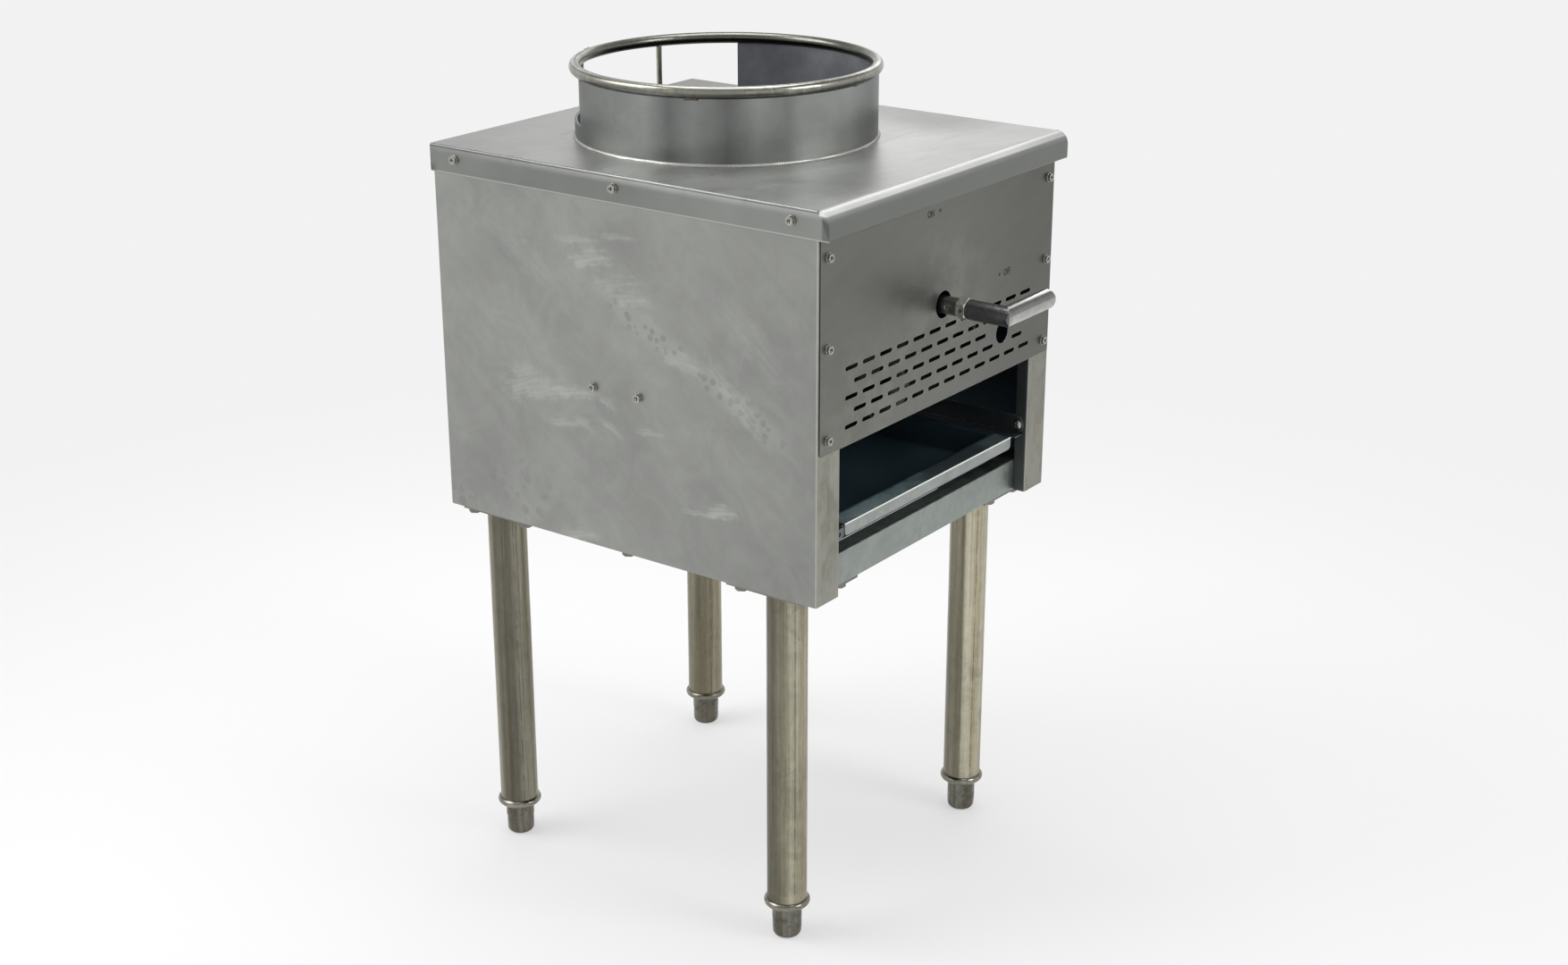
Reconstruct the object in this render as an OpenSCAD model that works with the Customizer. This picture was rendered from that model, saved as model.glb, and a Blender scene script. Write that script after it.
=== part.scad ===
/* [Cabinet] */
// Width over the side panels
cab_w = 457.2; // [448:0.1:490]
// Depth from the front posts to the back flange
cab_d = 512; // [500:1:540]
// Height of the deck above the floor
deck_h = 847; // [820:1:880]
// Height of the cabinet from its lower edge to the deck
cab_h = 417; // [410:1:430]
// Thickness of the folded stainless sheet
sheet = 1.2; // [1:0.1:1.5]
// Width of each front post
post_w = 41; // [38:0.5:44]
// Depth of the return behind each post
return_d = 15; // [13:0.5:17]

/* [Deck] */
// Height of the deck's skirts
skirt_h = 30; // [28:1:32]
// Radius of the rolled front nose
nose_r = 14; // [12:0.5:15]

/* [Wok ring] */
// Outside diameter of the ring wall
ring_d = 333.4; // [320:0.1:336]
// Distance of the ring's centre from the front posts
ring_y = 285.5; // [282:0.5:290]
// Height of the rim above the deck
ring_rise = 83; // [76:1:92]
// Thickness of the ring wall
collar_t = 3; // [2.5:0.1:3.5]
// Diameter of the rim bar
rim_d = 12.7; // [12:0.1:14]
// Height of the wall where it runs full circle
lip_h = 19; // [15:1:24]
// Half angle of the gap at the back
gap_half = 57; // [48:1:62]
// Diameter of the two rods in the gap
rod_d = 6.4; // [6:0.1:7]
// Angle of each rod from the middle of the gap
rod_ang = 24.5; // [20:0.5:30]

/* [Front panel] */
// Distance from the deck's top to the panel's lower edge
panel_drop = 254; // [250:1:258]
// Number of slots in a long row
slot_cols = 12; // [10:1:12]
// Number of rows of slots
slot_rows = 5; // [4:1:5]
// Length of a slot
slot_l = 22.5; // [18:0.5:24]
// Height of a slot
slot_w = 4.7; // [4:0.1:5.5]
// Spacing of the slots along a row
slot_px = 31; // [30:0.1:32]
// Spacing of the rows
slot_pz = 15.5; // [15:0.1:16]
// Diameter of the hole for the handle's shaft
shaft_hole_d = 30; // [28:0.5:32]
// Diameter of the hole in front of the pilot
pilot_hole_d = 25.5; // [22:0.5:27]

/* [Handle] */
// Distance from the deck's top to the valve's axis
shaft_drop = 147; // [145:1:149]
// Distance of the handle's corner from the panel
handle_out = 78; // [70:1:90]
// Length of the grip from the shaft's axis to its tip
grip_l = 92; // [80:1:105]
// Diameter of the handle's bar
grip_d = 21.6; // [20.6:0.1:22.6]

/* [Drip tray] */
// Height of the tray's flange above the cabinet's lower edge
tray_rise = 72; // [70:1:76]
// Depth of the tray's basin
tray_deep = 31; // [24:1:31]
// Gap between the tray's flange and each post's inner face
tray_gap = 21.6; // [19:0.2:23]

/* [Legs] */
// Outside diameter of the leg tube
leg_d = 44.5; // [42:0.5:46]
// Wall of the leg tube
leg_t = 1.5; // [1.2:0.1:1.8]
// Distance of each leg's axis from the side
leg_in = 46; // [44:1:50]
// Distance of the front legs' axes from the front
leg_front = 70; // [66:1:76]
// Distance of the rear legs' axes from the back
leg_rear = 42; // [40:1:50]
// Diameter of the bullet foot
foot_d = 33; // [31:0.5:34]
// Height of the middle of the bead above the floor
bead_h = 44; // [42:1:50]

/* [Burner] */
// Radius of the cast burner
burner_r = 84; // [82:1:88]
// Number of jets in the outer ring
jets_out = 12; // [8:1:12]
// Number of jets in the inner ring
jets_in = 6; // [4:1:6]
// Outside diameter of the gas pipe
pipe_d = 26.7; // [26:0.1:27]
// Distance of the rear inlet from the cabinet's side
inlet_in = 58.6; // [58.6:0.5:60.6]

/* [Hidden] */
$fn = 96;

// General clearances and overlaps
fit = 0.1;
seat = 0.05;
eps = 0.01;
bend_r = 1.6;
bend_n = 5;

// Cabinet: y runs back from the posts' front faces, z up from the floor
half_w = cab_w / 2;
inlet_x = half_w - inlet_in;
base_z = deck_h - cab_h;
deck_low = deck_h - sheet;
inner_w = half_w - sheet - fit;
open_half = half_w - post_w;
skirt_z = deck_h - skirt_h;
deck_half = half_w + fit + sheet;
deck_back = cab_d + 2 * sheet + fit;
side_lip_w = 20;
side_lip_from = 18;
base_lip_w = 26;
channel_h = 37;
channel_foot = 45;
channel_lip = 20;
channel_t = 1.5;
channel_y = return_d + fit;
base_lip_from = channel_y + channel_foot + fit;

// Front panel
panel_half = half_w - 3.6;
panel_z = deck_h - panel_drop;
panel_top = deck_h - 7;
panel_corner = 4;
slot_low = 20;
shaft_z = deck_h - shaft_drop;
pilot_in = 105.84;
pilot_x = half_w - pilot_in;
pilot_z = panel_z + slot_low + 1.7 * slot_pz;
pilot_keep = slot_px * 0.85;

// Screws
screw_r = 2.4;
screw_hole_r = 2.6;
screw_flange_r = 5.4;
screw_flange_t = 1;
screw_af = 8.4;
screw_head_t = 4.2;
screw_dish_r = 2.7;
screw_slot = 1.1;
screw_len = 7;
skirt_screw_z = skirt_z + skirt_h * 0.53;
skirt_screw_in = 31;
post_screw_x = half_w - 16;
post_screw_zs = [panel_z + 15, (panel_z + panel_top) / 2 - 13, skirt_z - 20];
side_screw_ys = [ring_y - 55.5, ring_y + 6.5];

// Wok ring
collar_r = ring_d / 2;
collar_in = collar_r - collar_t;
rim_z = deck_h + ring_rise - rim_d / 2;
rim_r = collar_r - collar_t / 2;
bead_leg = 2.6;
deck_hole_r = collar_in + 0.8;

// Fire chamber and its lining
drum_r = collar_r + 2.5;
drum_t = sheet;
drum_low = deck_h - 157;
drum_flange = 12;
drum_hole_r = 125;
lining_low_r = 112;
lining_top_r = collar_in - 6;
lining_t = 5;
lining_foot = 27;
lining_neck = 18;
lining_step = 8;

// Burner, from its cast feet up
support_top = deck_h - 222.5;
support_t = 2;
support_half = 50;
support_y = (side_screw_ys[0] + side_screw_ys[1]) / 2;
support_drop = 26;
side_screw_z = support_top - support_drop / 2 + 0.5;
burner_z = deck_h - 206;
burner_top = deck_h - 179;
burner_wall = 6;
burner_foot_r = burner_r - 14;
hub_r = 24;
hub_low = support_top + 3;
foot_lug_x = 62;
foot_lug_r = 11;
boss_r = 9.5;
boss_h = 8;
ring_out = burner_r - 19;
ring_in = burner_r / 2.35;
jet_r = 4.95;
jet_af = 14;
jet_hex_h = 7;
jet_cone_h = 11;
jet_hole_r = 1.1;

// Gas pipes
pipe_r = pipe_d / 2;
pipe_bore_r = 10.5;
thread_fit = 0.05;
elbow_a = 30;
elbow_c = 17.5;
elbow_r = 16.4;
elbow_band_r = 18.6;
socket_d = 13.8;
valve_y = 62;
valve_r = 24;
valve_back = valve_y + 24;
valve_front = valve_y - 18;
valve_wall = 6;
bonnet_t = 8;
bonnet_r = 20.5;
plug_r = 16;
port_r = 8;
port_reach = 40;
drop_reach = 36;
supply_z = shaft_z - 2 * elbow_a;
feed_z = shaft_z - 124;
rear_reach = cab_d + 38;
inlet_thread = 20;
thread_depth = 0.3;

// Heat shield
shield_y = 100;
shield_low = panel_z - 1;
shield_top = deck_h - 7;
shield_wing = 20;

// Handle
stem_r = 8;
stem_fit = 0.05;
shaft_r = 9.75;
nut_y0 = 22;
nut_y1 = 33;
nut_r = 12.6;
arm_r = grip_d / 2;
arm_wall = 2;
front_reach = handle_out + arm_r;
pin_y = 10;
pin_r = 2;
nut_mid = (nut_y0 + nut_y1) / 2;
set_r = 2.5;
origin_y = (rear_reach - front_reach) / 2;

// Drip tray and rails
tray_z = base_z + tray_rise;
tray_half = open_half - tray_gap;
tray_y0 = 8;
tray_y1 = cab_d - 24;
tray_lip = 14;
lip_r = 5;
tray_side = 9;
tray_front = 22;
tray_r = 8;
rail_gap = 0.3;
rail_h = 23;
ledge_top = tray_z - sheet - rail_gap;
ledge_in = tray_half - 7.5;
rail_z0 = ledge_top - sheet;
rail_y0 = 4;
rail_y1 = cab_d - rail_y0;
ledge_y0 = rail_y0 + 1.5;
ledge_mid = tray_half + 6;
ledge_notch = tray_y0 + sheet + rail_gap;
rail_screw_y = 11.5;
rail_screw_z = rail_z0 + 11.5;
pan_r = 5.8;

// Legs
leg_x = half_w - leg_in;
leg_r = leg_d / 2;
leg_ys = [leg_front, cab_d - leg_rear];
plate_t = 3;
plate_z = base_z - plate_t;
plate_out = half_w - 2.5;
plate_in = half_w - 100;
plate_edge = 17;
plate_long = 101;
plate_cut = 42;
plate_bolt_in = [25, 9];
bolt_r = 4;
bolt_hole_r = 4.2;
bolt_af = 13;
bolt_head = 5;
bolt_nut = 6;
flange_bolt_in = 9;
bead_r = 4.5;
bead_c = leg_r - 1;
foot_r = foot_d / 2;
foot_fit = 0.35;
collar_top = bead_h + 31;
foot_body = bead_h + 16;
foot_shoulder = 0.3;
foot_stem_r = 8;
foot_stem_top = bead_h + 66;
foot_round = 6;
foot_flat_af = foot_d - 1.6;

// Pilot
pilot_y0 = 50;
pilot_body_r = 9;
pilot_tube_r = 3.2;
pilot_bend = 12;
pilot_ang = -25;
pilot_gap = 15;
pilot_head = [(burner_r + pilot_gap) * cos(pilot_ang), ring_y + (burner_r + pilot_gap) * sin(pilot_ang)];

function unit(v) = v / norm(v);
function turn(a, b) = atan2(a[0] * b[1] - a[1] * b[0], a[0] * b[0] + a[1] * b[1]);
function spin2(v, q) = [v[0] * cos(q) - v[1] * sin(q), v[0] * sin(q) + v[1] * cos(q)];
function back(f) = [for (i = [len(f) - 1 : -1 : 0]) f[i]];

// One face of a folded sheet: the path p moved sideways by off, with an arc of radius r at each bend
function face(p, off, r, n) = [
    for (i = [0 : len(p) - 1])
    let (a = i > 0 ? unit(p[i] - p[i - 1]) : unit(p[1] - p[0]),
        b = i < len(p) - 1 ? unit(p[i + 1] - p[i]) : a,
        q = turn(a, b), s = sign(q), na = [-a[1], a[0]],
        c = p[i] - a * r * tan(abs(q) / 2) + na * r * s)
    each (abs(q) < 1 ? [p[i] + na * off]
        : [for (k = [0 : n]) c + spin2(-na * s, q * k / n) * (r - s * off)])
];

// Outline of a folded sheet of thickness t along the middle line p
function folded(p, t, r = bend_r, n = bend_n) = concat(face(p, t / 2, r, n), back(face(p, -t / 2, r, n)));

// Outline of a rectangle with round corners
function round_rect(x0, y0, x1, y1, r, n = 6) = [
    for (c = [[x1 - r, y1 - r, 0], [x0 + r, y1 - r, 90], [x0 + r, y0 + r, 180], [x1 - r, y0 + r, 270]])
    for (k = [0 : n]) [c[0] + r * cos(c[2] + 90 * k / n), c[1] + r * sin(c[2] + 90 * k / n)]
];

module place() translate([0, -origin_y, 0]) children();

module along_x(x0, x1) translate([x0, 0, 0]) rotate([90, 0, 90]) linear_extrude(x1 - x0) children();

module along_y(y0, y1) translate([0, y1, 0]) rotate([90, 0, 0]) linear_extrude(y1 - y0) children();

module rod_x(x0, x1, r) translate([x0, 0, 0]) rotate([0, 90, 0]) cylinder(h = x1 - x0, r = r);

module rod_y(y0, y1, r) translate([0, y0, 0]) rotate([-90, 0, 0]) cylinder(h = y1 - y0, r = r);

module rod_z(z0, z1, r) translate([0, 0, z0]) cylinder(h = z1 - z0, r = r);

module box(p, q) translate(p) cube(q - p);

module hex_z(z0, z1, af) translate([0, 0, z0]) cylinder(h = z1 - z0, r = af / sqrt(3), $fn = 6);

// Hex screw with a flange and a cross recess, its head on the origin's +Z side and its shank below
module flange_screw(len = screw_len) {
    difference() {
        union() {
            rod_z(seat, seat + screw_flange_t, screw_flange_r);
            hex_z(seat + screw_flange_t - eps, screw_head_t, screw_af);
        }
        rod_z(screw_head_t - 0.6, screw_head_t + 1, screw_dish_r);
        for (q = [0, 90]) rotate([0, 0, q])
            box([-screw_dish_r, -screw_slot / 2, screw_head_t - 2],
            [screw_dish_r, screw_slot / 2, screw_head_t]);
    }
    rod_z(-len, seat + eps, screw_r);
}

// Pan head screw with a cross recess
module pan_screw(len = screw_len) {
    difference() {
        rotate_extrude() polygon([[0, seat], [pan_r, seat], [pan_r - 0.2, 1.7], [pan_r - 1.4, 3],
            [pan_r * 0.4, 3.7], [0, 3.8]]);
        for (q = [0, 90]) rotate([0, 0, q])
            box([-pan_r * 0.5, -0.65, 2.2], [pan_r * 0.5, 0.65, 4.5]);
    }
    rod_z(-len, seat + eps, screw_r);
}

module at_deck_screws() {
    for (s = [-1, 1], y = [skirt_screw_in, cab_d / 2, cab_d - skirt_screw_in - 2])
        translate([s * deck_half, y, skirt_screw_z]) rotate([0, s * 90, 0]) children();
}

module at_post_screws(y, dir) {
    for (s = [-1, 1], z = post_screw_zs)
        translate([s * post_screw_x, y, z]) rotate([dir * 90, 0, 0]) children();
}

module at_side_screws() {
    for (s = [-1, 1], y = side_screw_ys)
        translate([s * half_w, y, side_screw_z]) rotate([0, s * 90, 0]) children();
}

module at_rail_screws() {
    for (s = [-1, 1], y = [rail_screw_y, cab_d - rail_screw_y])
        translate([s * (open_half - sheet), y, rail_screw_z]) rotate([0, -s * 90, 0]) children();
}

// Bolt places of the front right leg plate, which the other corners mirror
function plate_bolts(t) = [
    [plate_in + 22, plate_edge + 9],
    [plate_out - plate_bolt_in[t > 0 ? 1 : 0], plate_edge + 9],
    [plate_out - 9, plate_edge + plate_long - 14]
];

module mirror_corner(s, t)
    translate([0, t > 0 ? cab_d : 0, 0])
    mirror([0, t > 0 ? 1 : 0, 0]) mirror([s < 0 ? 1 : 0, 0, 0]) children();

// Places of the two bolts in the side panels' bottom flanges, halfway along
module at_flange_bolts() {
    for (s = [-1, 1]) translate([s * (half_w - flange_bolt_in), cab_d / 2, base_z]) children();
}

module at_plate_bolts() {
    for (s = [-1, 1], t = [-1, 1], b = plate_bolts(t))
        translate([s * b[0], t > 0 ? cab_d - b[1] : b[1], plate_z]) children();
}

module deck_pan() {
    path = [[-deck_half + sheet / 2, skirt_z], [-deck_half + sheet / 2, deck_h - sheet / 2],
        [deck_half - sheet / 2, deck_h - sheet / 2], [deck_half - sheet / 2, skirt_z]];
    along_y(0, deck_back) polygon(folded(path, sheet));
}

module deck_nose() {
    mid = nose_r - sheet / 2;
    difference() {
        translate([0, 0, deck_h - nose_r]) rotate([0, 90, 0])
            translate([0, 0, -deck_half]) cylinder(h = 2 * deck_half, r = nose_r);
        translate([0, 0, deck_h - nose_r]) rotate([0, 90, 0])
            translate([0, 0, -deck_half + sheet]) cylinder(h = 2 * (deck_half - sheet), r = nose_r - sheet);
        box([-deck_half - 1, eps, skirt_z - nose_r], [deck_half + 1, nose_r + 1, deck_h + 1]);
        box([-deck_half - 1, -nose_r - 1, skirt_z - nose_r], [deck_half + 1, nose_r + 1, deck_h - nose_r]);
    }
    front = [[-sheet - 0.3, skirt_z + sheet / 2], [-mid, skirt_z + sheet / 2], [-mid, deck_h - nose_r + eps]];
    along_x(-deck_half, deck_half) polygon(folded(front, sheet));
    for (s = [-1, 1]) {
        x0 = s < 0 ? -deck_half : deck_half - sheet;
        box([x0, -mid, skirt_z], [x0 + sheet, eps, deck_h - nose_r + eps]);
    }
}

module top_deck() color("silver") place() difference() {
    union() {
        deck_pan();
        deck_nose();
        box([-deck_half, cab_d + sheet + fit, skirt_z], [deck_half, deck_back, deck_h - sheet]);
    }
    translate([0, ring_y, 0]) rod_z(skirt_z, deck_h + 1, deck_hole_r);
    at_deck_screws() rod_z(-screw_len, 1, screw_hole_r);
}

module wok_collar() color("gainsboro") place() translate([0, ring_y, 0]) difference() {
    z0 = deck_h + seat;
    z1 = rim_z - rim_d / 2 - seat;
    rotate_extrude() polygon([[collar_in, z0], [collar_r + bead_leg, z0],
        [collar_r + bead_leg * 0.45, z0 + bead_leg * 0.45], [collar_r, z0 + bead_leg], [collar_r, z1],
        [collar_in, z1]]);
    translate([0, 0, deck_h + lip_h]) linear_extrude(ring_rise)
        polygon(concat([[0, 0]], [for (q = [-gap_half, 0, gap_half]) 2 * collar_r * [sin(q), cos(q)]]));
}

module rim_solid(grow) translate([0, 0, rim_z]) rotate_extrude()
    translate([rim_r, 0]) circle(r = rim_d / 2 + grow);

module rim_ring() color("silver") place() translate([0, ring_y, 0]) rim_solid(0);

module rim_rods() color("silver") place() translate([0, ring_y, 0]) difference() {
    for (s = [-1, 1]) rotate([0, 0, 90 + s * rod_ang])
        translate([rim_r, 0, 0]) rod_z(deck_h + lip_h + seat, rim_z, rod_d / 2);
    rim_solid(seat);
}

module side_panel() {
    x = half_w - sheet / 2;
    xr = open_half + sheet / 2;
    path = [[xr, return_d], [xr, sheet / 2], [x, sheet / 2], [x, cab_d - sheet / 2],
        [xr, cab_d - sheet / 2], [xr, cab_d - return_d]];
    difference() {
        union() {
            translate([0, 0, base_z]) linear_extrude(deck_low - fit - 0.6 * sheet - base_z)
                polygon(folded(path, sheet));
            box([half_w - side_lip_w - sheet, side_lip_from, deck_low - fit - sheet],
                [half_w - sheet + eps, cab_d - side_lip_from, deck_low - fit]);
            box([half_w - base_lip_w - sheet, base_lip_from, base_z],
                [half_w - sheet + eps, cab_d - base_lip_from, base_z + sheet]);
        }
        at_deck_screws() rod_z(-screw_len - 1, 1, screw_hole_r);
        at_side_screws() rod_z(-screw_len - 1, 1, screw_hole_r);
        at_post_screws(0, 1) rod_z(-screw_len - 1, 1, screw_hole_r);
        at_post_screws(cab_d, -1) rod_z(-screw_len - 1, 1, screw_hole_r);
        at_rail_screws() rod_z(-screw_len - 1, 1, screw_hole_r);
        at_plate_bolts() rod_z(0, plate_t + bolt_nut, bolt_hole_r);
        at_flange_bolts() rod_z(-1, sheet + 1, bolt_hole_r);
    }
}

module right_side_panel() color("lightgray") place() side_panel();

module left_side_panel() color("lightgray") place() mirror([1, 0, 0]) side_panel();

module back_panel() color("lightgray") place() difference() {
    box([-panel_half, cab_d + seat, base_z + 1], [panel_half, cab_d + seat + sheet, panel_top]);
    at_post_screws(cab_d, -1) rod_z(-screw_len, sheet + 1, screw_hole_r);
    translate([inlet_x, 0, supply_z]) rod_y(cab_d - 1, cab_d + sheet + 1, pipe_r + 2);
}

module slot(x, z) {
    translate([x, z]) square([slot_l - slot_w, slot_w], center = true);
    for (s = [-1, 1]) translate([x + s * (slot_l - slot_w) / 2, z]) circle(r = slot_w / 2, $fn = 32);
}

module front_panel() color("lightgray") place() difference() {
    along_y(-sheet - seat, -seat) difference() {
        polygon(round_rect(-panel_half, panel_z, panel_half, panel_top, panel_corner, 4));
        for (row = [0 : slot_rows - 1]) {
            cols = slot_cols - row % 2;
            z = panel_z + slot_low + row * slot_pz;
            for (i = [0 : cols - 1]) {
                x = (i - (cols - 1) / 2) * slot_px;
                if (norm([x - pilot_x, (z - pilot_z) * 1.5]) > pilot_keep) slot(x, z);
            }
        }
        translate([0, shaft_z]) circle(r = shaft_hole_d / 2);
        translate([pilot_x, pilot_z]) circle(r = pilot_hole_d / 2);
    }
    at_post_screws(0, 1) rod_z(-screw_len, sheet + 1, screw_hole_r);
}

module heat_shield() color("lightsteelblue") place() difference() {
    y = shield_y + sheet / 2;
    x = inner_w - sheet / 2;
    translate([0, 0, shield_low]) linear_extrude(shield_top - shield_low)
        polygon(folded([[-x, y + shield_wing], [-x, y], [x, y], [x, y + shield_wing]], sheet));
    translate([inlet_x, 0, supply_z]) rod_y(shield_y - 1, shield_y + sheet + 1, elbow_band_r + 2);
    translate([pilot_x, 0, supply_z]) rod_y(shield_y - 1, shield_y + sheet + 1, pilot_tube_r + 3);
}

module base_channel() {
    y0 = channel_y + channel_t / 2;
    z1 = base_z + channel_h - channel_t / 2;
    path = [[channel_y + channel_foot, base_z + channel_t / 2], [y0, base_z + channel_t / 2],
        [y0, z1], [channel_y + channel_lip, z1]];
    along_x(-inner_w, inner_w) polygon(folded(path, channel_t));
}

module front_base_channel() color("darkseagreen") place() difference() {
    base_channel();
    at_plate_bolts() rod_z(0, plate_t + bolt_nut, bolt_hole_r);
}

module rear_base_channel() color("darkseagreen") place() difference() {
    translate([0, cab_d, 0]) mirror([0, 1, 0]) base_channel();
    at_plate_bolts() rod_z(0, plate_t + bolt_nut, bolt_hole_r);
}

module leg_plate(s, t) color("darkgray") place() mirror_corner(s, t) difference() {
    translate([0, 0, plate_z]) linear_extrude(plate_t - seat) polygon([[plate_out, plate_edge],
        [plate_in, plate_edge], [plate_in, plate_edge + plate_long - plate_cut],
        [plate_in + plate_cut, plate_edge + plate_long], [plate_out, plate_edge + plate_long]]);
    for (b = plate_bolts(t)) translate([b[0], b[1], plate_z - 1]) cylinder(h = plate_t + 2, r = bolt_hole_r);
}

module leg_plate_front_left() leg_plate(-1, -1);

module leg_plate_front_right() leg_plate(1, -1);

module leg_plate_rear_left() leg_plate(-1, 1);

module leg_plate_rear_right() leg_plate(1, 1);

module at_leg(s, t) place() translate([s * leg_x, leg_ys[t], 0]) children();

module leg() color("rosybrown") difference() {
    rod_z(bead_h + bead_r, plate_z - seat, leg_r);
    rod_z(bead_h, plate_z + 1, leg_r - leg_t);
}

module leg_front_left() at_leg(-1, 0) leg();

module leg_front_right() at_leg(1, 0) leg();

module leg_rear_left() at_leg(-1, 1) leg();

module leg_rear_right() at_leg(1, 1) leg();

// Beaded insert: a rolled bead under the tube, a sleeve inside it and a tapped crown for the foot's stem
module leg_collar() color("silver") rotate_extrude() {
    bore = foot_r + foot_fit;
    sleeve = leg_r - leg_t - fit;
    crown = foot_body + foot_shoulder;
    polygon([[bore, bead_h - bead_r], [bead_c, bead_h - bead_r], [bead_c, bead_h + bead_r - seat],
        [sleeve, bead_h + bead_r - seat], [sleeve, collar_top], [foot_stem_r + stem_fit, collar_top],
        [foot_stem_r + stem_fit, crown], [bore, crown]]);
    difference() {
        translate([bead_c, bead_h]) circle(r = bead_r - seat, $fn = 48);
        translate([0, bead_h - 2 * bead_r]) square([bead_c - eps, 4 * bead_r]);
    }
}

module leg_collar_front_left() at_leg(-1, 0) leg_collar();

module leg_collar_front_right() at_leg(1, 0) leg_collar();

module leg_collar_rear_left() at_leg(-1, 1) leg_collar();

module leg_collar_rear_right() at_leg(1, 1) leg_collar();

// Bullet foot: round body with a rounded toe, two pressed flats for a spanner and a threaded stem
module foot() color("dimgray") difference() {
    rotate_extrude() polygon(concat([[0, 0]],
        [for (k = [0 : 8]) [foot_r - 0.6 - foot_round * (1 - sin(90 * k / 8)),
            foot_round * (1 - cos(90 * k / 8))]],
        [[foot_r, foot_round + 6], [foot_r, foot_body - 1], [foot_r - 1, foot_body], [foot_stem_r, foot_body],
        [foot_stem_r, foot_stem_top - 1.5], [foot_stem_r - 1.5, foot_stem_top], [0, foot_stem_top]]));
    for (q = [0 : 60 : 300]) rotate([0, 0, q + 15])
        box([foot_flat_af / 2, -foot_r, -1], [foot_r + 1, foot_r, bead_h * 0.52]);
}

module foot_front_left() at_leg(-1, 0) foot();

module foot_front_right() at_leg(1, 0) foot();

module foot_rear_left() at_leg(-1, 1) foot();

module foot_rear_right() at_leg(1, 1) foot();

// Tray rail: a web with round ends, a ledge notched for the tray's lip, and a tab at its far end
module tray_rail() difference() {
    union() {
        intersection() {
            box([open_half - sheet, rail_y0, rail_z0], [open_half - seat, rail_y1, rail_z0 + rail_h]);
            along_x(open_half - 2 * sheet, open_half + sheet)
                polygon(round_rect(rail_y0, rail_z0 - 1, rail_y1, rail_z0 + rail_h, 11, 6));
        }
        box([ledge_mid, ledge_y0, rail_z0], [open_half - seat, cab_d - ledge_y0, rail_z0 + sheet]);
        box([ledge_in, ledge_notch, rail_z0], [ledge_mid + eps, cab_d - ledge_notch, rail_z0 + sheet]);
        along_y(cab_d - ledge_y0 - sheet, cab_d - ledge_y0)
            polygon([[ledge_mid + 4, rail_z0 - 11], [open_half - seat, rail_z0 - 11],
            [open_half - seat, rail_z0 + eps], [ledge_mid, rail_z0 + eps], [ledge_mid, rail_z0 - 7]]);
    }
    at_rail_screws() rod_z(-screw_len, 3, screw_hole_r);
    translate([(ledge_mid + open_half) / 2, 0, rail_z0 - 5]) rod_y(rail_y1 - 5, rail_y1, screw_hole_r);
}

module tray_rail_right() color("lightgray") place() tray_rail();

module tray_rail_left() color("lightgray") place()
    translate([0, cab_d, 0]) rotate([0, 0, 180]) tray_rail();

module drip_tray() color("darkseagreen") place() {
    z0 = tray_z - tray_deep;
    inner_half = tray_half - tray_side;
    difference() {
        union() {
            translate([0, 0, tray_z - sheet]) linear_extrude(sheet)
                polygon(round_rect(-tray_half, tray_y0, tray_half, tray_y1, 2, 3));
            translate([0, 0, z0]) linear_extrude(tray_deep)
                polygon(round_rect(-inner_half, tray_y0 + tray_front,
                inner_half, tray_y1 - tray_side, tray_r));
        }
        translate([0, 0, z0 + sheet]) linear_extrude(tray_deep)
            polygon(round_rect(-inner_half + sheet, tray_y0 + tray_front + sheet,
            inner_half - sheet, tray_y1 - tray_side - sheet, tray_r - sheet));
    }
    along_y(tray_y0, tray_y0 + sheet)
        polygon(concat([[tray_half, tray_z - eps], [-tray_half, tray_z - eps]],
        [for (k = [0 : 4]) [-tray_half + lip_r * (1 - cos(22.5 * k)),
            tray_z - tray_lip + lip_r * (1 - sin(22.5 * k))]],
        [for (k = [4 : -1 : 0]) [tray_half - lip_r * (1 - cos(22.5 * k)),
            tray_z - tray_lip + lip_r * (1 - sin(22.5 * k))]]));
}

module burner_support() color("darkgray") place() difference() {
    x = inner_w;
    z0 = support_top - support_drop;
    union() {
        path = [[-x + support_t / 2, z0], [-x + support_t / 2, support_top - support_t / 2],
            [x - support_t / 2, support_top - support_t / 2], [x - support_t / 2, z0]];
        along_y(support_y - support_half + 4, support_y + support_half - 4)
            polygon(folded(path, support_t));
        for (s = [-1, 1]) {
            y = support_y + s * support_half;
            box([-x + 6, min(y, y - s * support_t), z0], [x - 6, max(y, y - s * support_t), support_top - 3]);
            box([-x + 6, min(y, y - s * 5), support_top - support_t - 3 + eps],
                [x - 6, max(y, y - s * 5), support_top]);
        }
    }
    translate([0, ring_y, 0]) rod_z(z0, support_top + 1, pipe_r + 2.5);
    for (s = [-1, 1]) translate([s * foot_lug_x, ring_y, 0])
        rod_z(support_top - support_t - 1, support_top + 1, bolt_hole_r);
    at_side_screws() rod_z(-screw_len - 1, 1, screw_hole_r);
}

function jet_spots() = concat(
    [for (i = [0 : jets_out - 1]) [ring_out * cos((i + 0.5) * 360 / jets_out),
        ring_out * sin((i + 0.5) * 360 / jets_out)]],
    [for (i = [0 : jets_in - 1]) [ring_in * cos(i * 360 / jets_in), ring_in * sin(i * 360 / jets_in)]]);

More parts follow.
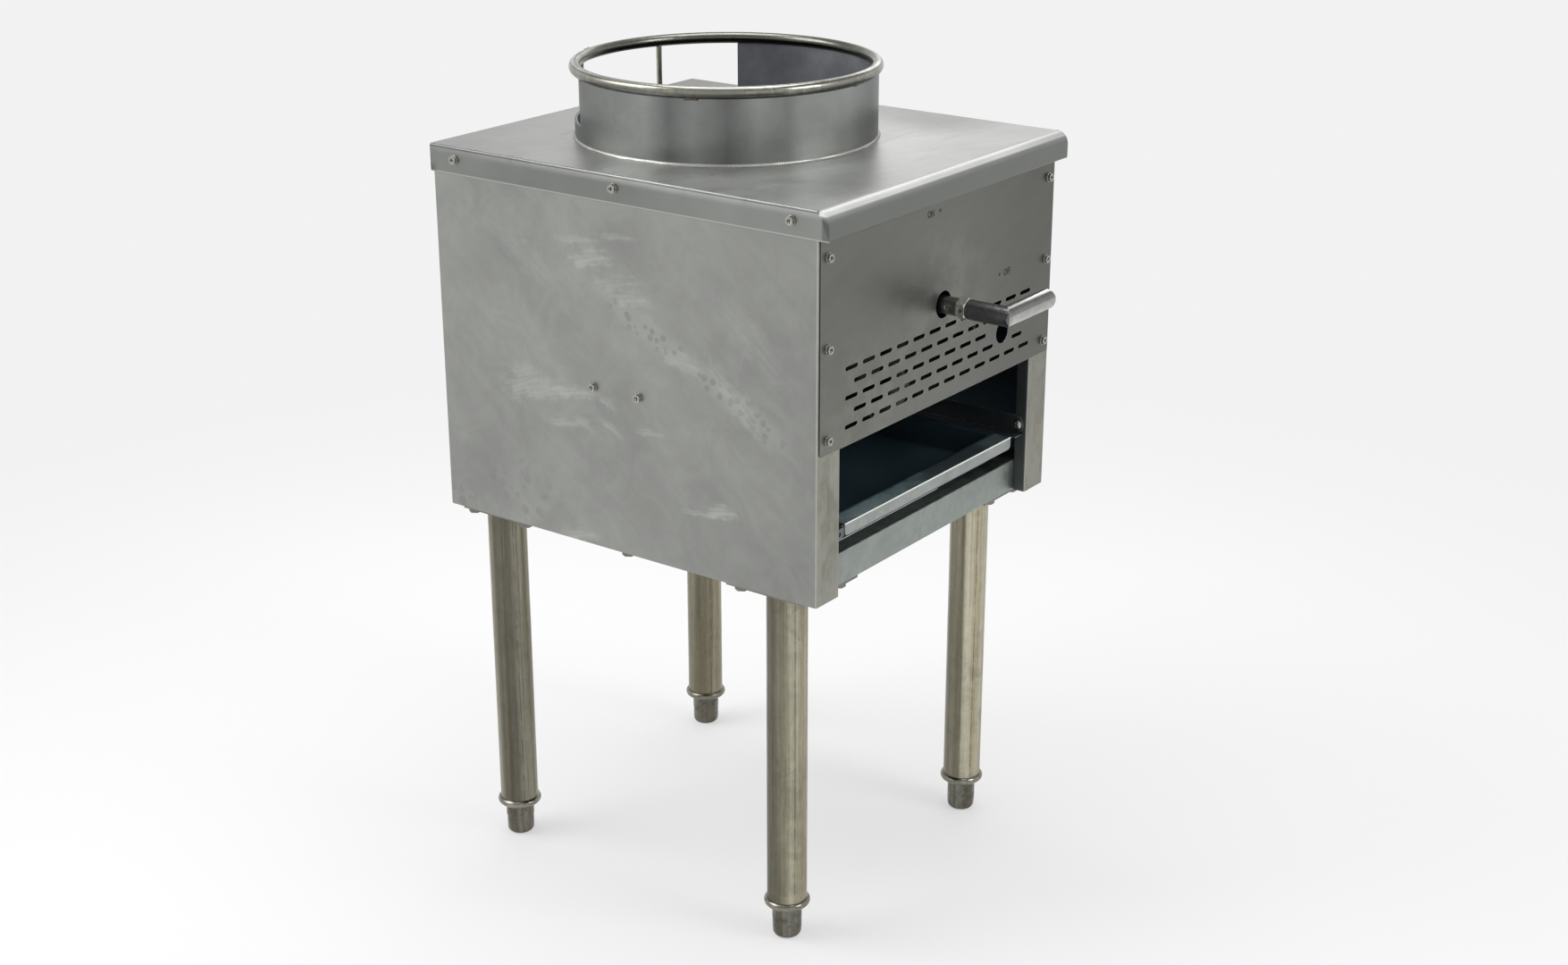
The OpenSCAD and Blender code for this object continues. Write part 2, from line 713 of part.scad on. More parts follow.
// Cast jet burner: a hollow round box with a hub, tapped bosses, ribs and two feet
module burner_body() color("dimgray") place() translate([0, ring_y, 0]) difference() {
    union() {
        rotate_extrude() polygon([[0, hub_low], [hub_r, hub_low],
            [hub_r, burner_z - 3], [hub_r + 4, burner_z],
            [burner_foot_r, burner_z], [burner_r - 2, burner_z + 5], [burner_r, burner_z + 9],
            [burner_r, burner_top - 6], [burner_r - 3, burner_top - 1.5], [burner_r - 7, burner_top],
            [0, burner_top]]);
        for (p = jet_spots()) translate([p[0], p[1], 0]) rod_z(burner_top - 1, burner_top + boss_h, boss_r);
        for (i = [0 : jets_in - 1]) rotate([0, 0, i * 360 / jets_in])
            box([ring_in, -2, burner_top - 1], [burner_r - 8, 2, burner_top + 5]);
        rotate_extrude() polygon([[ring_in - 3, burner_top - 1], [ring_in + 3, burner_top - 1],
            [ring_in + 2, burner_top + 5], [ring_in - 2, burner_top + 5]]);
        for (s = [-1, 1]) translate([s * foot_lug_x, 0, 0])
            rod_z(support_top + seat, burner_z + 1, foot_lug_r);
    }
    rotate_extrude() polygon([[0, burner_z + burner_wall], [burner_foot_r - 1, burner_z + burner_wall],
        [burner_r - burner_wall, burner_z + 11], [burner_r - burner_wall, burner_top - 8],
        [burner_r - 9, burner_top - burner_wall], [0, burner_top - burner_wall]]);
    rod_z(hub_low - 1, burner_z + burner_wall + 1, pipe_r + thread_fit);
    for (p = jet_spots()) translate([p[0], p[1], 0])
        rod_z(burner_top - burner_wall - 1, burner_top + boss_h + 1, jet_r + thread_fit);
    for (s = [-1, 1]) translate([s * foot_lug_x, 0, 0])
        rod_z(support_top - 1, burner_z + 3, bolt_r + thread_fit);
}

module burner_jets() color("goldenrod") place() translate([0, ring_y, 0]) {
    z0 = burner_top + boss_h + seat;
    for (p = jet_spots()) translate([p[0], p[1], 0]) difference() {
        union() {
            rod_z(burner_top - burner_wall + 1, z0 + eps, jet_r);
            hex_z(z0, z0 + jet_hex_h, jet_af);
            translate([0, 0, z0 + jet_hex_h - eps])
                cylinder(h = jet_cone_h, r1 = jet_r + 0.9, r2 = jet_r - 1.9);
        }
        rod_z(burner_top - burner_wall - 1, z0 + jet_hex_h, jet_hole_r * 2.2);
        rod_z(burner_top, z0 + jet_hex_h + jet_cone_h + 1, jet_hole_r);
    }
}

module burner_bolts() color("silver") place() {
    for (s = [-1, 1]) translate([s * foot_lug_x, ring_y, support_top - support_t - seat]) {
        hex_z(-bolt_head, 0, bolt_af);
        rod_z(-eps, burner_z - support_top + support_t, bolt_r);
    }
}

// Drum that hangs from the deck round the flame, with a flange at the top and an inner shelf below
module fire_chamber() color("slategray") place() translate([0, ring_y, 0]) rotate_extrude() polygon([
    [drum_hole_r, drum_low], [drum_r, drum_low], [drum_r, deck_low - sheet - fit],
    [drum_r + drum_flange, deck_low - sheet - fit], [drum_r + drum_flange, deck_low - fit],
    [drum_r - drum_t, deck_low - fit], [drum_r - drum_t, drum_low + drum_t],
    [drum_hole_r, drum_low + drum_t]]);

// Cast cone inside the drum: a foot ring on the drum's shelf, a flared wall and a top flange
module chamber_lining() color("dimgray") place() translate([0, ring_y, 0]) {
    z0 = drum_low + drum_t + seat;
    z1 = deck_low - 3;
    rotate_extrude() polygon([[lining_low_r, z0], [lining_low_r + lining_foot, z0],
        [lining_low_r + lining_foot, z0 + lining_t], [lining_low_r + lining_t + 2, z0 + lining_t],
        [lining_low_r + lining_t, z0 + lining_neck], [lining_top_r + 3, z1 - lining_t],
        [drum_r - drum_t - 0.2, z1 - lining_t], [drum_r - drum_t - 0.2, z1], [lining_top_r, z1],
        [lining_top_r - 1.5, z1 - 2], [lining_low_r + 3, z0 + lining_neck + lining_step],
        [lining_low_r, z0 + lining_neck]]);
}

// Plug valve body: a round barrel along y, a threaded inlet to the right and an outlet below
module valve_body() color("darkgoldenrod") place() translate([0, 0, shaft_z]) difference() {
    union() {
        rod_y(valve_front, valve_back, valve_r);
        translate([0, valve_y, 0]) rod_x(0, port_reach - 11, elbow_r);
        translate([0, valve_y, 0]) rod_x(port_reach - 12, port_reach, elbow_band_r);
        translate([0, valve_y, 0]) rod_z(-drop_reach, 0, elbow_r);
        translate([0, valve_y, 0]) rod_z(-drop_reach, -drop_reach + 12, elbow_band_r);
    }
    rod_y(valve_front - 1, valve_back - valve_wall, plug_r + stem_fit);
    translate([0, valve_y, 0]) rod_x(0, port_reach + 1, port_r + 1);
    translate([0, valve_y, 0]) rod_x(port_reach - socket_d, port_reach + 1, pipe_r + thread_fit);
    translate([0, valve_y, 0]) rod_z(-drop_reach - 1, 0, port_r + 1);
    translate([0, valve_y, 0]) rod_z(-drop_reach - 1, -drop_reach + socket_d, pipe_r + thread_fit);
}

// Hex bonnet that closes the barrel and guides the stem
module valve_bonnet() color("goldenrod") place() translate([0, 0, shaft_z]) difference() {
    union() {
        rod_y(valve_front - eps, valve_front + 4, plug_r - 2 * seat);
        translate([0, valve_front - seat, 0]) rotate([90, 0, 0])
            cylinder(h = bonnet_t, r = bonnet_r, $fn = 6);
        rod_y(valve_front - seat - eps, valve_front, plug_r - 1);
    }
    rod_y(valve_front - bonnet_t - 1, valve_front + 5, stem_r + stem_fit);
}

module valve_bracket() color("darkgray") place() translate([0, 0, shaft_z]) {
    rod_y(valve_back + seat, shield_y - 3, 14);
    along_y(shield_y - 3 - eps, shield_y - seat) polygon(round_rect(-32, -20, 32, 20, 5, 4));
}

// Plug and stem: at rest the two ports face down and left, so the inlet on the right is shut
module valve_plug() color("goldenrod") place() translate([0, 0, shaft_z]) difference() {
    union() {
        rod_y(valve_front + 4.3, valve_back - valve_wall - 0.3, plug_r);
        rod_y(-nut_y0 + 2, valve_front + 5, stem_r);
    }
    translate([0, valve_y, 0]) rod_z(-plug_r - 1, 0, port_r);
    translate([0, valve_y, 0]) rod_x(-plug_r - 1, 0, port_r);
    translate([0, valve_y, 0]) sphere(r = port_r);
    translate([0, -pin_y, 0]) rod_x(-shaft_r - 1, shaft_r + 1, pin_r + stem_fit);
}

module shaft_tube() color("silver") place() translate([0, 0, shaft_z]) difference() {
    rod_y(-nut_y1, valve_front - bonnet_t - 1.5, shaft_r);
    rod_y(-nut_y1 - 1, valve_front, stem_r + stem_fit);
    translate([0, -pin_y, 0]) rod_x(-shaft_r - 1, shaft_r + 1, pin_r + stem_fit);
    translate([0, -nut_mid, 0]) rod_x(-shaft_r - 1, 0, set_r + seat);
}

module shaft_pin() color("gray") place() translate([0, -pin_y, shaft_z]) difference() {
    rod_x(-shaft_r + 0.6, shaft_r - 0.6, pin_r);
    rod_x(-shaft_r, shaft_r, pin_r - 0.7);
}

module handle_nut() color("silver") place() translate([0, 0, shaft_z]) difference() {
    intersection() {
        translate([0, -nut_y0, 0]) rotate([90, 30, 0]) cylinder(h = nut_y1 - nut_y0, r = nut_r, $fn = 6);
        translate([0, -nut_y0 + eps, 0]) rotate([90, 0, 0]) rotate_extrude()
            polygon([[0, 0], [nut_r - 1.4, 0], [nut_r + 0.4, 1.6], [nut_r + 0.4, nut_y1 - nut_y0 - 1.6],
            [nut_r - 1.4, nut_y1 - nut_y0], [0, nut_y1 - nut_y0]]);
    }
    rod_y(-nut_y1 - 1, -nut_y0 + 1, shaft_r + stem_fit);
    translate([0, -nut_mid, 0]) rod_x(-nut_r - 1, -shaft_r + 1, set_r + seat);
}

module handle_set_screw() color("dimgray") place() translate([0, -nut_mid, shaft_z]) difference() {
    rod_x(-nut_r * cos(30) + 0.4, -stem_r - seat, set_r);
    translate([-nut_r, 0, 0]) rotate([0, 90, 0]) cylinder(h = 3.2, r = 1.4, $fn = 6);
}

// Arm from the nut to the mitred corner
module handle_arm() color("silver") place() translate([0, 0, shaft_z]) difference() {
    rod_y(-handle_out - arm_r, -nut_y1 - seat, arm_r);
    rod_y(-nut_y1 - 12, -nut_y1 + 1, arm_r - arm_wall);
    translate([0, -handle_out, 0]) rotate([0, 0, -45])
        box([seat, -3 * arm_r, -2 * arm_r], [4 * arm_r, 3 * arm_r, 2 * arm_r]);
    outer_chamfer();
}

// Grip from the mitred corner to its round tip
module handle_grip() color("gainsboro") place() translate([0, 0, shaft_z]) difference() {
    translate([0, -handle_out, 0]) union() {
        rod_x(-arm_r, grip_l - arm_r, arm_r);
        translate([grip_l - arm_r, 0, 0]) sphere(r = arm_r);
    }
    translate([0, -handle_out, 0]) rotate([0, 0, -45])
        box([-4 * arm_r, -3 * arm_r, -2 * arm_r], [seat, 3 * arm_r, 2 * arm_r]);
    outer_chamfer();
}

module outer_chamfer() translate([0, -handle_out, 0]) rotate([0, 0, -135])
    box([arm_r * 1.12, -2 * arm_r, -2 * arm_r], [3 * arm_r, 2 * arm_r, 2 * arm_r]);

// Threaded elbow whose arms run along +x and +y from the origin
module elbow() difference() {
    union() {
        translate([elbow_c, elbow_c, 0]) rotate([0, 0, 180]) rotate_extrude(angle = 90)
            translate([elbow_c, 0]) circle(r = elbow_r);
        rod_x(elbow_c - eps, elbow_a - seat / 2, elbow_r);
        rod_y(elbow_c - eps, elbow_a - seat / 2, elbow_r);
        rod_x(elbow_a - 9, elbow_a - seat / 2, elbow_band_r);
        rod_y(elbow_a - 9, elbow_a - seat / 2, elbow_band_r);
    }
    translate([elbow_c, elbow_c, 0]) rotate([0, 0, 180]) rotate_extrude(angle = 90)
        translate([elbow_c, 0]) circle(r = pipe_bore_r);
    rod_x(elbow_c - eps, elbow_a + 1, pipe_r + thread_fit);
    rod_y(elbow_c - eps, elbow_a + 1, pipe_r + thread_fit);
}

module pipe_elbows() color("dimgray") place() {
    translate([inlet_x, valve_y, supply_z]) rotate([0, -90, 0]) elbow();
    translate([inlet_x, valve_y, shaft_z]) rotate([-90, 0, 180]) elbow();
    translate([0, valve_y, feed_z]) rotate([0, -90, 0]) elbow();
    translate([0, ring_y, feed_z]) rotate([0, -90, 180]) elbow();
}

module tube_x(x0, x1) difference() {
    rod_x(x0, x1, pipe_r);
    rod_x(x0 - 1, x1 + 1, pipe_bore_r);
}

module tube_y(y0, y1) difference() {
    rod_y(y0, y1, pipe_r);
    rod_y(y0 - 1, y1 + 1, pipe_bore_r);
}

module tube_z(z0, z1) difference() {
    rod_z(z0, z1, pipe_r);
    rod_z(z0 - 1, z1 + 1, pipe_bore_r);
}

module supply_pipe() color("darkslategray") place() translate([inlet_x, 0, supply_z]) difference() {
    tube_y(valve_y + elbow_c + 1, rear_reach);
    difference() {
        rod_y(rear_reach - inlet_thread, rear_reach + 1, pipe_r + 1);
        rod_y(rear_reach - inlet_thread - 1, rear_reach + 2, pipe_r - thread_depth);
    }
}

module close_nipple() color("darkslategray") place() translate([inlet_x, valve_y, 0])
    tube_z(supply_z + elbow_c + 1, shaft_z - elbow_c - 1);

module cross_pipe() color("darkslategray") place() translate([0, valve_y, shaft_z])
    tube_x(port_reach - socket_d + 0.2, inlet_x - elbow_c - 1);

module drop_pipe() color("darkslategray") place() translate([0, valve_y, 0])
    tube_z(feed_z + elbow_c + 1, shaft_z - drop_reach + socket_d - 0.2);

module feed_pipe() color("darkslategray") place() translate([0, 0, feed_z])
    tube_y(valve_y + elbow_c + 1, ring_y - elbow_c - 1);

module burner_riser() color("darkslategray") place() translate([0, ring_y, 0])
    tube_z(feed_z + elbow_c + 1, burner_z + burner_wall - 1);

// Pilot valve under the cross pipe, facing the hole in the panel
module pilot_valve() color("goldenrod") place() translate([pilot_x, 0, supply_z]) difference() {
    union() {
        rod_y(pilot_y0, pilot_y0 + 24, pilot_body_r);
        translate([0, pilot_y0 + eps, 0]) rotate([90, 0, 0]) cylinder(h = 6, r = 7, $fn = 6);
        rod_y(pilot_y0 - 16, pilot_y0, 3);
        translate([0, valve_y, 0]) rod_z(0, shaft_z - supply_z - pipe_r + 4, 6);
        translate([0, pilot_y0 + 24 - eps, 0]) rotate([-90, 0, 0]) cylinder(h = 9, r = 6.6, $fn = 6);
    }
    translate([-pilot_x, valve_y, shaft_z - supply_z]) rod_x(pilot_x - 20, pilot_x + 20, pipe_r + seat);
    rod_y(pilot_y0 + 25, pilot_y0 + 40, pilot_tube_r + thread_fit);
    box([-4, pilot_y0 - 17, -0.5], [4, pilot_y0 - 14.5, 0.5]);
}

// Pilot tube: straight back, across to the burner and up
module pilot_tube() color("peru") place() {
    x0 = pilot_x;
    x1 = pilot_head[0];
    y1 = pilot_head[1];
    r = pilot_bend;
    translate([x0, 0, supply_z]) rod_y(pilot_y0 + 26, y1 - r, pilot_tube_r);
    translate([x0 - r, y1 - r, supply_z])
        rotate_extrude(angle = 90) translate([r, 0]) circle(r = pilot_tube_r);
    translate([0, y1, supply_z]) rod_x(x1 + r, x0 - r, pilot_tube_r);
    translate([x1 + r, y1, supply_z + r]) rotate([90, 0, 0]) rotate([0, 0, 180])
        rotate_extrude(angle = 90) translate([r, 0]) circle(r = pilot_tube_r);
    translate([x1, y1, 0]) rod_z(supply_z + r, burner_top - 8, pilot_tube_r);
}

// Pilot burner head with its strap to the cast burner
module pilot_burner() color("silver") place() {
    translate([pilot_head[0], pilot_head[1], 0]) difference() {
        union() {
            rod_z(burner_top - 12, burner_top + 6, 6);
            rod_z(burner_top + 5, burner_top + 19, 7.5);
        }
        rod_z(burner_top - 13, burner_top - 7.8, pilot_tube_r + thread_fit);
        rod_z(burner_top + 10, burner_top + 20, 6);
        for (q = [0 : 60 : 300]) rotate([0, 0, q]) translate([0, 0, burner_top + 14]) rod_x(5, 9, 1.2);
    }
    translate([0, ring_y, 0]) rotate([0, 0, pilot_ang])
        box([burner_r + seat, -5, burner_top - 18], [burner_r + pilot_gap - 4, 5, burner_top - 8 + 4]);
}

module panel_screws() color("silver") place() {
    at_deck_screws() flange_screw();
    at_side_screws() flange_screw();
    at_post_screws(-sheet - seat, 1) flange_screw();
    at_post_screws(cab_d + sheet + seat, -1) flange_screw();
}

module rail_screws() color("silver") place() at_rail_screws() pan_screw();

// Hex bolt with its head below the origin and its nut above a stack of the given thickness
module hex_bolt(stack) {
    hex_z(-bolt_head, -seat, bolt_af);
    rod_z(-seat - eps, stack + bolt_nut + 2, bolt_r);
    hex_z(stack + seat, stack + bolt_nut, bolt_af);
}

module leg_plate_bolts() color("silver") place() {
    at_plate_bolts() hex_bolt(plate_t + channel_t);
    at_flange_bolts() hex_bolt(sheet);
}

top_deck();
wok_collar();
rim_ring();
rim_rods();
left_side_panel();
right_side_panel();
back_panel();
front_panel();
heat_shield();
front_base_channel();
rear_base_channel();
leg_plate_front_left();
leg_plate_front_right();
leg_plate_rear_left();
leg_plate_rear_right();
leg_front_left();
leg_front_right();
leg_rear_left();
leg_rear_right();
leg_collar_front_left();
leg_collar_front_right();
leg_collar_rear_left();
leg_collar_rear_right();
foot_front_left();
foot_front_right();
foot_rear_left();
foot_rear_right();
tray_rail_left();
tray_rail_right();
drip_tray();
burner_support();
burner_body();
burner_jets();
burner_bolts();
fire_chamber();
chamber_lining();
valve_body();
valve_bonnet();
valve_bracket();
valve_plug();
shaft_tube();
shaft_pin();
handle_nut();
handle_set_screw();
handle_arm();
handle_grip();
supply_pipe();
close_nipple();
cross_pipe();
drop_pipe();
feed_pipe();
burner_riser();
pipe_elbows();
pilot_valve();
pilot_tube();
pilot_burner();
panel_screws();
rail_screws();
leg_plate_bolts();
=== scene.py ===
"""Looks of a stainless steel wok range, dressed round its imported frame.

Everything is in metres in the frame's axes: x to the right, y to the back, z up from the floor. The nodes
keep their meshes and take procedural finishes; letters and weld metal are made here as meshes.
"""

import logging
import math
from dataclasses import dataclass
from enum import Enum
from typing import Iterable, Optional, Sequence, Union

import bmesh
import bpy
from mathutils import Matrix, Vector


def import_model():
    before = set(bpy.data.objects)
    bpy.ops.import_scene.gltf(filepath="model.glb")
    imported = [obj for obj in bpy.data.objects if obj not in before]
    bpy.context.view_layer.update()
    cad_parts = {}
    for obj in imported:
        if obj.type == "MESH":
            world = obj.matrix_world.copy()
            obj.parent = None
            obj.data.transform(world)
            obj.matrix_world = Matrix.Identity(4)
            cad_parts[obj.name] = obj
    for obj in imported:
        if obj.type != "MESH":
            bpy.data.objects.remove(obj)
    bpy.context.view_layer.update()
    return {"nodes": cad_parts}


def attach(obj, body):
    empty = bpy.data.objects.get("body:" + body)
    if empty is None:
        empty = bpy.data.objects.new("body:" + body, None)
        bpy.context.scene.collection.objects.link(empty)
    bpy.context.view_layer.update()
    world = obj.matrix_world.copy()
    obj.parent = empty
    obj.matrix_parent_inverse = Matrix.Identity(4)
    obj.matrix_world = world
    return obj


Colour = tuple[float, float, float]
Point = tuple[float, float, float]
Socket = bpy.types.NodeSocket

log = logging.getLogger("wok_range")

MM = 0.001

# places in the frame; each y is measured from the cabinet's front edge, each z from the floor
FRONT_Y = -230.6 * MM
PANEL_Y = FRONT_Y - 1.25 * MM
TRAY_Y = FRONT_Y + 8 * MM
GRIP_Y = FRONT_Y - 78 * MM
HANDLE_Z = 700 * MM
DECK_Z = 847 * MM
BASE_Z = 430 * MM
HALF_W = 228.6 * MM
LEG_X = 182.6 * MM
LEG_YS = (FRONT_Y + 70 * MM, FRONT_Y + 470 * MM)

# the ring: its middle, the inside of its wall, and its top bar
RING_Y = FRONT_Y + 285.5 * MM
RING_MIDDLE = (0.0, RING_Y, 0.0)
WALL_R = 164.8 * MM
RIM_R = 165.95 * MM
RIM_Z = 923.65 * MM
RING_TOP = 930 * MM
UNDER_BAR = RING_TOP - 12.7 * MM

# to the right across the photograph's view, in x and y
VIEW_RIGHT = (0.590, -0.807)
THREAD_PITCH = 1.8 * MM
ORIGIN = (0.0, 0.0, 0.0)


class Grain(Enum):
    """The way a sheet was brushed, as the stretch of its grain along x, y and z."""

    ALONG_X = (3.0, 260.0, 260.0)
    ALONG_Y = (260.0, 3.0, 260.0)
    ALONG_Z = (260.0, 260.0, 3.0)


class Kind(Enum):
    """The sockets that a shader group may have."""

    VALUE = "NodeSocketFloat"
    VECTOR = "NodeSocketVector"
    COLOUR = "NodeSocketColor"


class Wire:
    """A shader value that can be reckoned with: each sum, difference, product or quotient adds a node."""

    def __init__(self, graph: "Graph", socket: Socket) -> None:
        """Keeps the graph and the socket that gives the value."""
        self.graph, self.socket = graph, socket

    def __add__(self, other: "Value") -> "Wire":
        """The sum."""
        return self.graph.math("ADD", self, other)

    def __sub__(self, other: "Value") -> "Wire":
        """The difference."""
        return self.graph.math("SUBTRACT", self, other)

    def __rsub__(self, other: "Value") -> "Wire":
        """The difference, the other way round."""
        return self.graph.math("SUBTRACT", other, self)

    def __mul__(self, other: "Value") -> "Wire":
        """The product."""
        return self.graph.math("MULTIPLY", self, other)

    def __truediv__(self, other: "Value") -> "Wire":
        """The quotient."""
        return self.graph.math("DIVIDE", self, other)

    def __abs__(self) -> "Wire":
        """The value without its sign."""
        return self.graph.math("ABSOLUTE", self)


Wires = dict[str, Wire]
Value = Union[Wire, Socket, float, Sequence[float]]
Stops = tuple[tuple[float, float], ...]
Key = Union[int, str]


class Graph:
    """Adds nodes to one node tree and joins them."""

    def __init__(self, tree: bpy.types.NodeTree) -> None:
        """Keeps the tree that the nodes go in."""
        self.tree = tree

    def add(self, kind: str, settings: Optional[dict] = None, **values: Value) -> bpy.types.Node:
        """Adds a node, with its settings and its inputs.

        Args:
            kind: The node's type.
            settings: Properties of the node.
            values: Inputs by name, with underscores for spaces.

        Returns:
            The node.
        """
        node = self.tree.nodes.new(kind)
        for name, value in (settings or {}).items():
            setattr(node, name, value)
        for name, value in values.items():
            self.plug(node.inputs[name.replace("_", " ")], value)
        return node

    def plug(self, socket: Socket, value: Value) -> None:
        """Joins a socket to another, or sets its value.

        Args:
            socket: The input that takes the value.
            value: A wire, a socket, a number, or the numbers of a vector or a colour.
        """
        value = value.socket if isinstance(value, Wire) else value
        if isinstance(value, bpy.types.NodeSocket):
            self.tree.links.new(value, socket)
        elif isinstance(value, (int, float)):
            socket.default_value = value
        else:
            socket.default_value = (tuple(value) + (1.0,))[:len(socket.default_value)]

    def work(self, node: bpy.types.Node, inputs: Sequence[Key], values: Sequence[Value], output: Key) -> Wire:
        """Feeds some inputs of a node and gives one of its outputs.

        Args:
            node: The node.
            inputs: The inputs, by number or name.
            values: What they take.
            output: The output, by number or name.

        Returns:
            The output.
        """
        for key, value in zip(inputs, values):
            self.plug(node.inputs[key], value)
        return Wire(self, node.outputs[output])

    def math(self, operation: str, a: Value, b: Value = 0.0) -> Wire:
        """Works out a number from one or two others."""
        return self.work(self.add("ShaderNodeMath", {"operation": operation}), (0, 1), (a, b), 0)

    def vector(self, operation: str, a: Value, b: Value = ORIGIN) -> Wire:
        """Works out a vector, a distance, a length or a dot product from vectors."""
        output = "Value" if operation in ("DISTANCE", "LENGTH", "DOT_PRODUCT") else "Vector"
        return self.work(self.add("ShaderNodeVectorMath", {"operation": operation}), (0, 1), (a, b), output)

    def stretch(self, place: Value, by: Value) -> Wire:
        """A vector whose three numbers are each multiplied by their own."""
        return self.vector("MULTIPLY", place, by)

    def shade(self, colour: Value, amount: Value) -> Wire:
        """Multiplies a colour by a number."""
        node = self.add("ShaderNodeVectorMath", {"operation": "SCALE"})
        return self.work(node, (0, "Scale"), (colour, amount), 0)

    def ease(self, value: Value, low: Value, high: Value, start: Value = 0.0, end: Value = 1.0) -> Wire:
        """Eases from one number to another as a value goes from low to high, and holds outside that.

        Args:
            value: The value.
            low: Where the easing starts.
            high: Where it ends; it may be less than low.
            start: The number at low.
            end: The number at high.

        Returns:
            The number.
        """
        node = self.add("ShaderNodeMapRange", {"interpolation_type": "SMOOTHSTEP"})
        inputs = ("Value", "From Min", "From Max", "To Min", "To Max")
        return self.work(node, inputs, (value, low, high, start, end), 0)

    def mix(self, share: Value, a: Value, b: Value) -> Wire:
        """Mixes two colours."""
        return self.work(self.add("ShaderNodeMix", {"data_type": "RGBA"}), (0, 6, 7), (share, a, b), 2)

    def blend(self, share: Value, a: Value, b: Value) -> Wire:
        """Mixes two numbers."""
        return self.work(self.add("ShaderNodeMix", {"data_type": "FLOAT"}), (0, 2, 3), (share, a, b), 0)

    def noise(self, place: Value, scale: Value, detail: float = 3.0, rough: float = 0.5,
              bend: float = 0.0) -> Wire:
        """A noise from 0 to 1 at a place."""
        inputs = ("Vector", "Scale", "Detail", "Roughness", "Distortion")
        return self.work(self.add("ShaderNodeTexNoise"), inputs, (place, scale, detail, rough, bend), "Fac")

    def cells(self, place: Value, scale: Value) -> Wire:
        """How far a place is from the middle of its cell."""
        return self.work(self.add("ShaderNodeTexVoronoi"), ("Vector", "Scale"), (place, scale), "Distance")

    def ramp(self, value: Value, stops: Stops) -> Wire:
        """A number read off a line of stops, each a place from 0 to 1 and the number there, at most 2.

        Args:
            value: Where to read.
            stops: The places and their numbers, in order.

        Returns:
            The number.
        """
        node = self.add("ShaderNodeValToRGB", Fac=value)
        line = node.color_ramp.elements
        while len(line) < len(stops):
            line.new(1.0)
        for element, (place, number) in zip(line, stops):
            element.position = place
            element.color = (number / 2, number / 2, number / 2, 1.0)
        return self.math("MULTIPLY", node.outputs["Color"], 2.0)

    def split(self, place: Value) -> tuple[Wire, ...]:
        """The x, y and z of a vector."""
        node = self.add("ShaderNodeSeparateXYZ", Vector=place)
        return tuple(Wire(self, socket) for socket in node.outputs)

    def join(self, x: Value, y: Value, z: Value) -> Wire:
        """A vector of x, y and z."""
        return self.work(self.add("ShaderNodeCombineXYZ"), (0, 1, 2), (x, y, z), 0)

    def radius(self, x: Wire, y: Wire) -> Wire:
        """The distance from an axis, of a place that is x and y away from it."""
        return self.math("SQRT", x * x + y * y)

    def turn(self, y: Wire, x: Wire) -> Wire:
        """The angle about an axis, from 0 to 1 for a whole turn that starts opposite x."""
        return self.math("ARCTAN2", y, x) / math.tau + 0.5


class Coat(Graph):
    """The graph of one material, with its shader and the position on the part."""

    def __init__(self, material: bpy.types.Material, metal: float, rough: float) -> None:
        """Empties the material's tree and adds the shader and the position.

        Args:
            material: The material.
            metal: How metallic it is.
            rough: How rough it is.
        """
        material.use_nodes = True
        material.node_tree.nodes.clear()
        super().__init__(material.node_tree)
        self.shader = self.add("ShaderNodeBsdfPrincipled", Metallic=metal, Roughness=rough)
        self.place = Wire(self, self.add("ShaderNodeTexCoord").outputs["Object"])
        end = self.add("ShaderNodeOutputMaterial")
        self.plug(end.inputs["Surface"], self.shader.outputs[0])

    def settle(self, colour: Value, rough: Value, height: Value, depth: float, base: Optional[Value] = None,
               strength: float = 1.0) -> None:
        """Feeds the shader with a colour, a roughness and a bump of a real depth.

        Args:
            colour: The colour.
            rough: The roughness.
            height: The bump, from 0 to 1.
            depth: What a height of 1 stands for, in metres.
            base: The normal under the bump.
            strength: The bump's strength.
        """
        bump = self.add("ShaderNodeBump", Height=height, Distance=depth, Strength=strength)
        if base is not None:
            self.plug(bump.inputs["Normal"], base)
        for name, value in (("Base Color", colour), ("Roughness", rough), ("Normal", bump.outputs[0])):
            self.plug(self.shader.inputs[name], value)


@dataclass(frozen=True)
class Port:
    """One named socket of a shader group."""

    name: str
    kind: Kind = Kind.VALUE
    start: Value = 0.0


POSITION = Port("Position", Kind.VECTOR, ORIGIN)
AXIS_AT = Port("Axis at", Kind.VECTOR, ORIGIN)


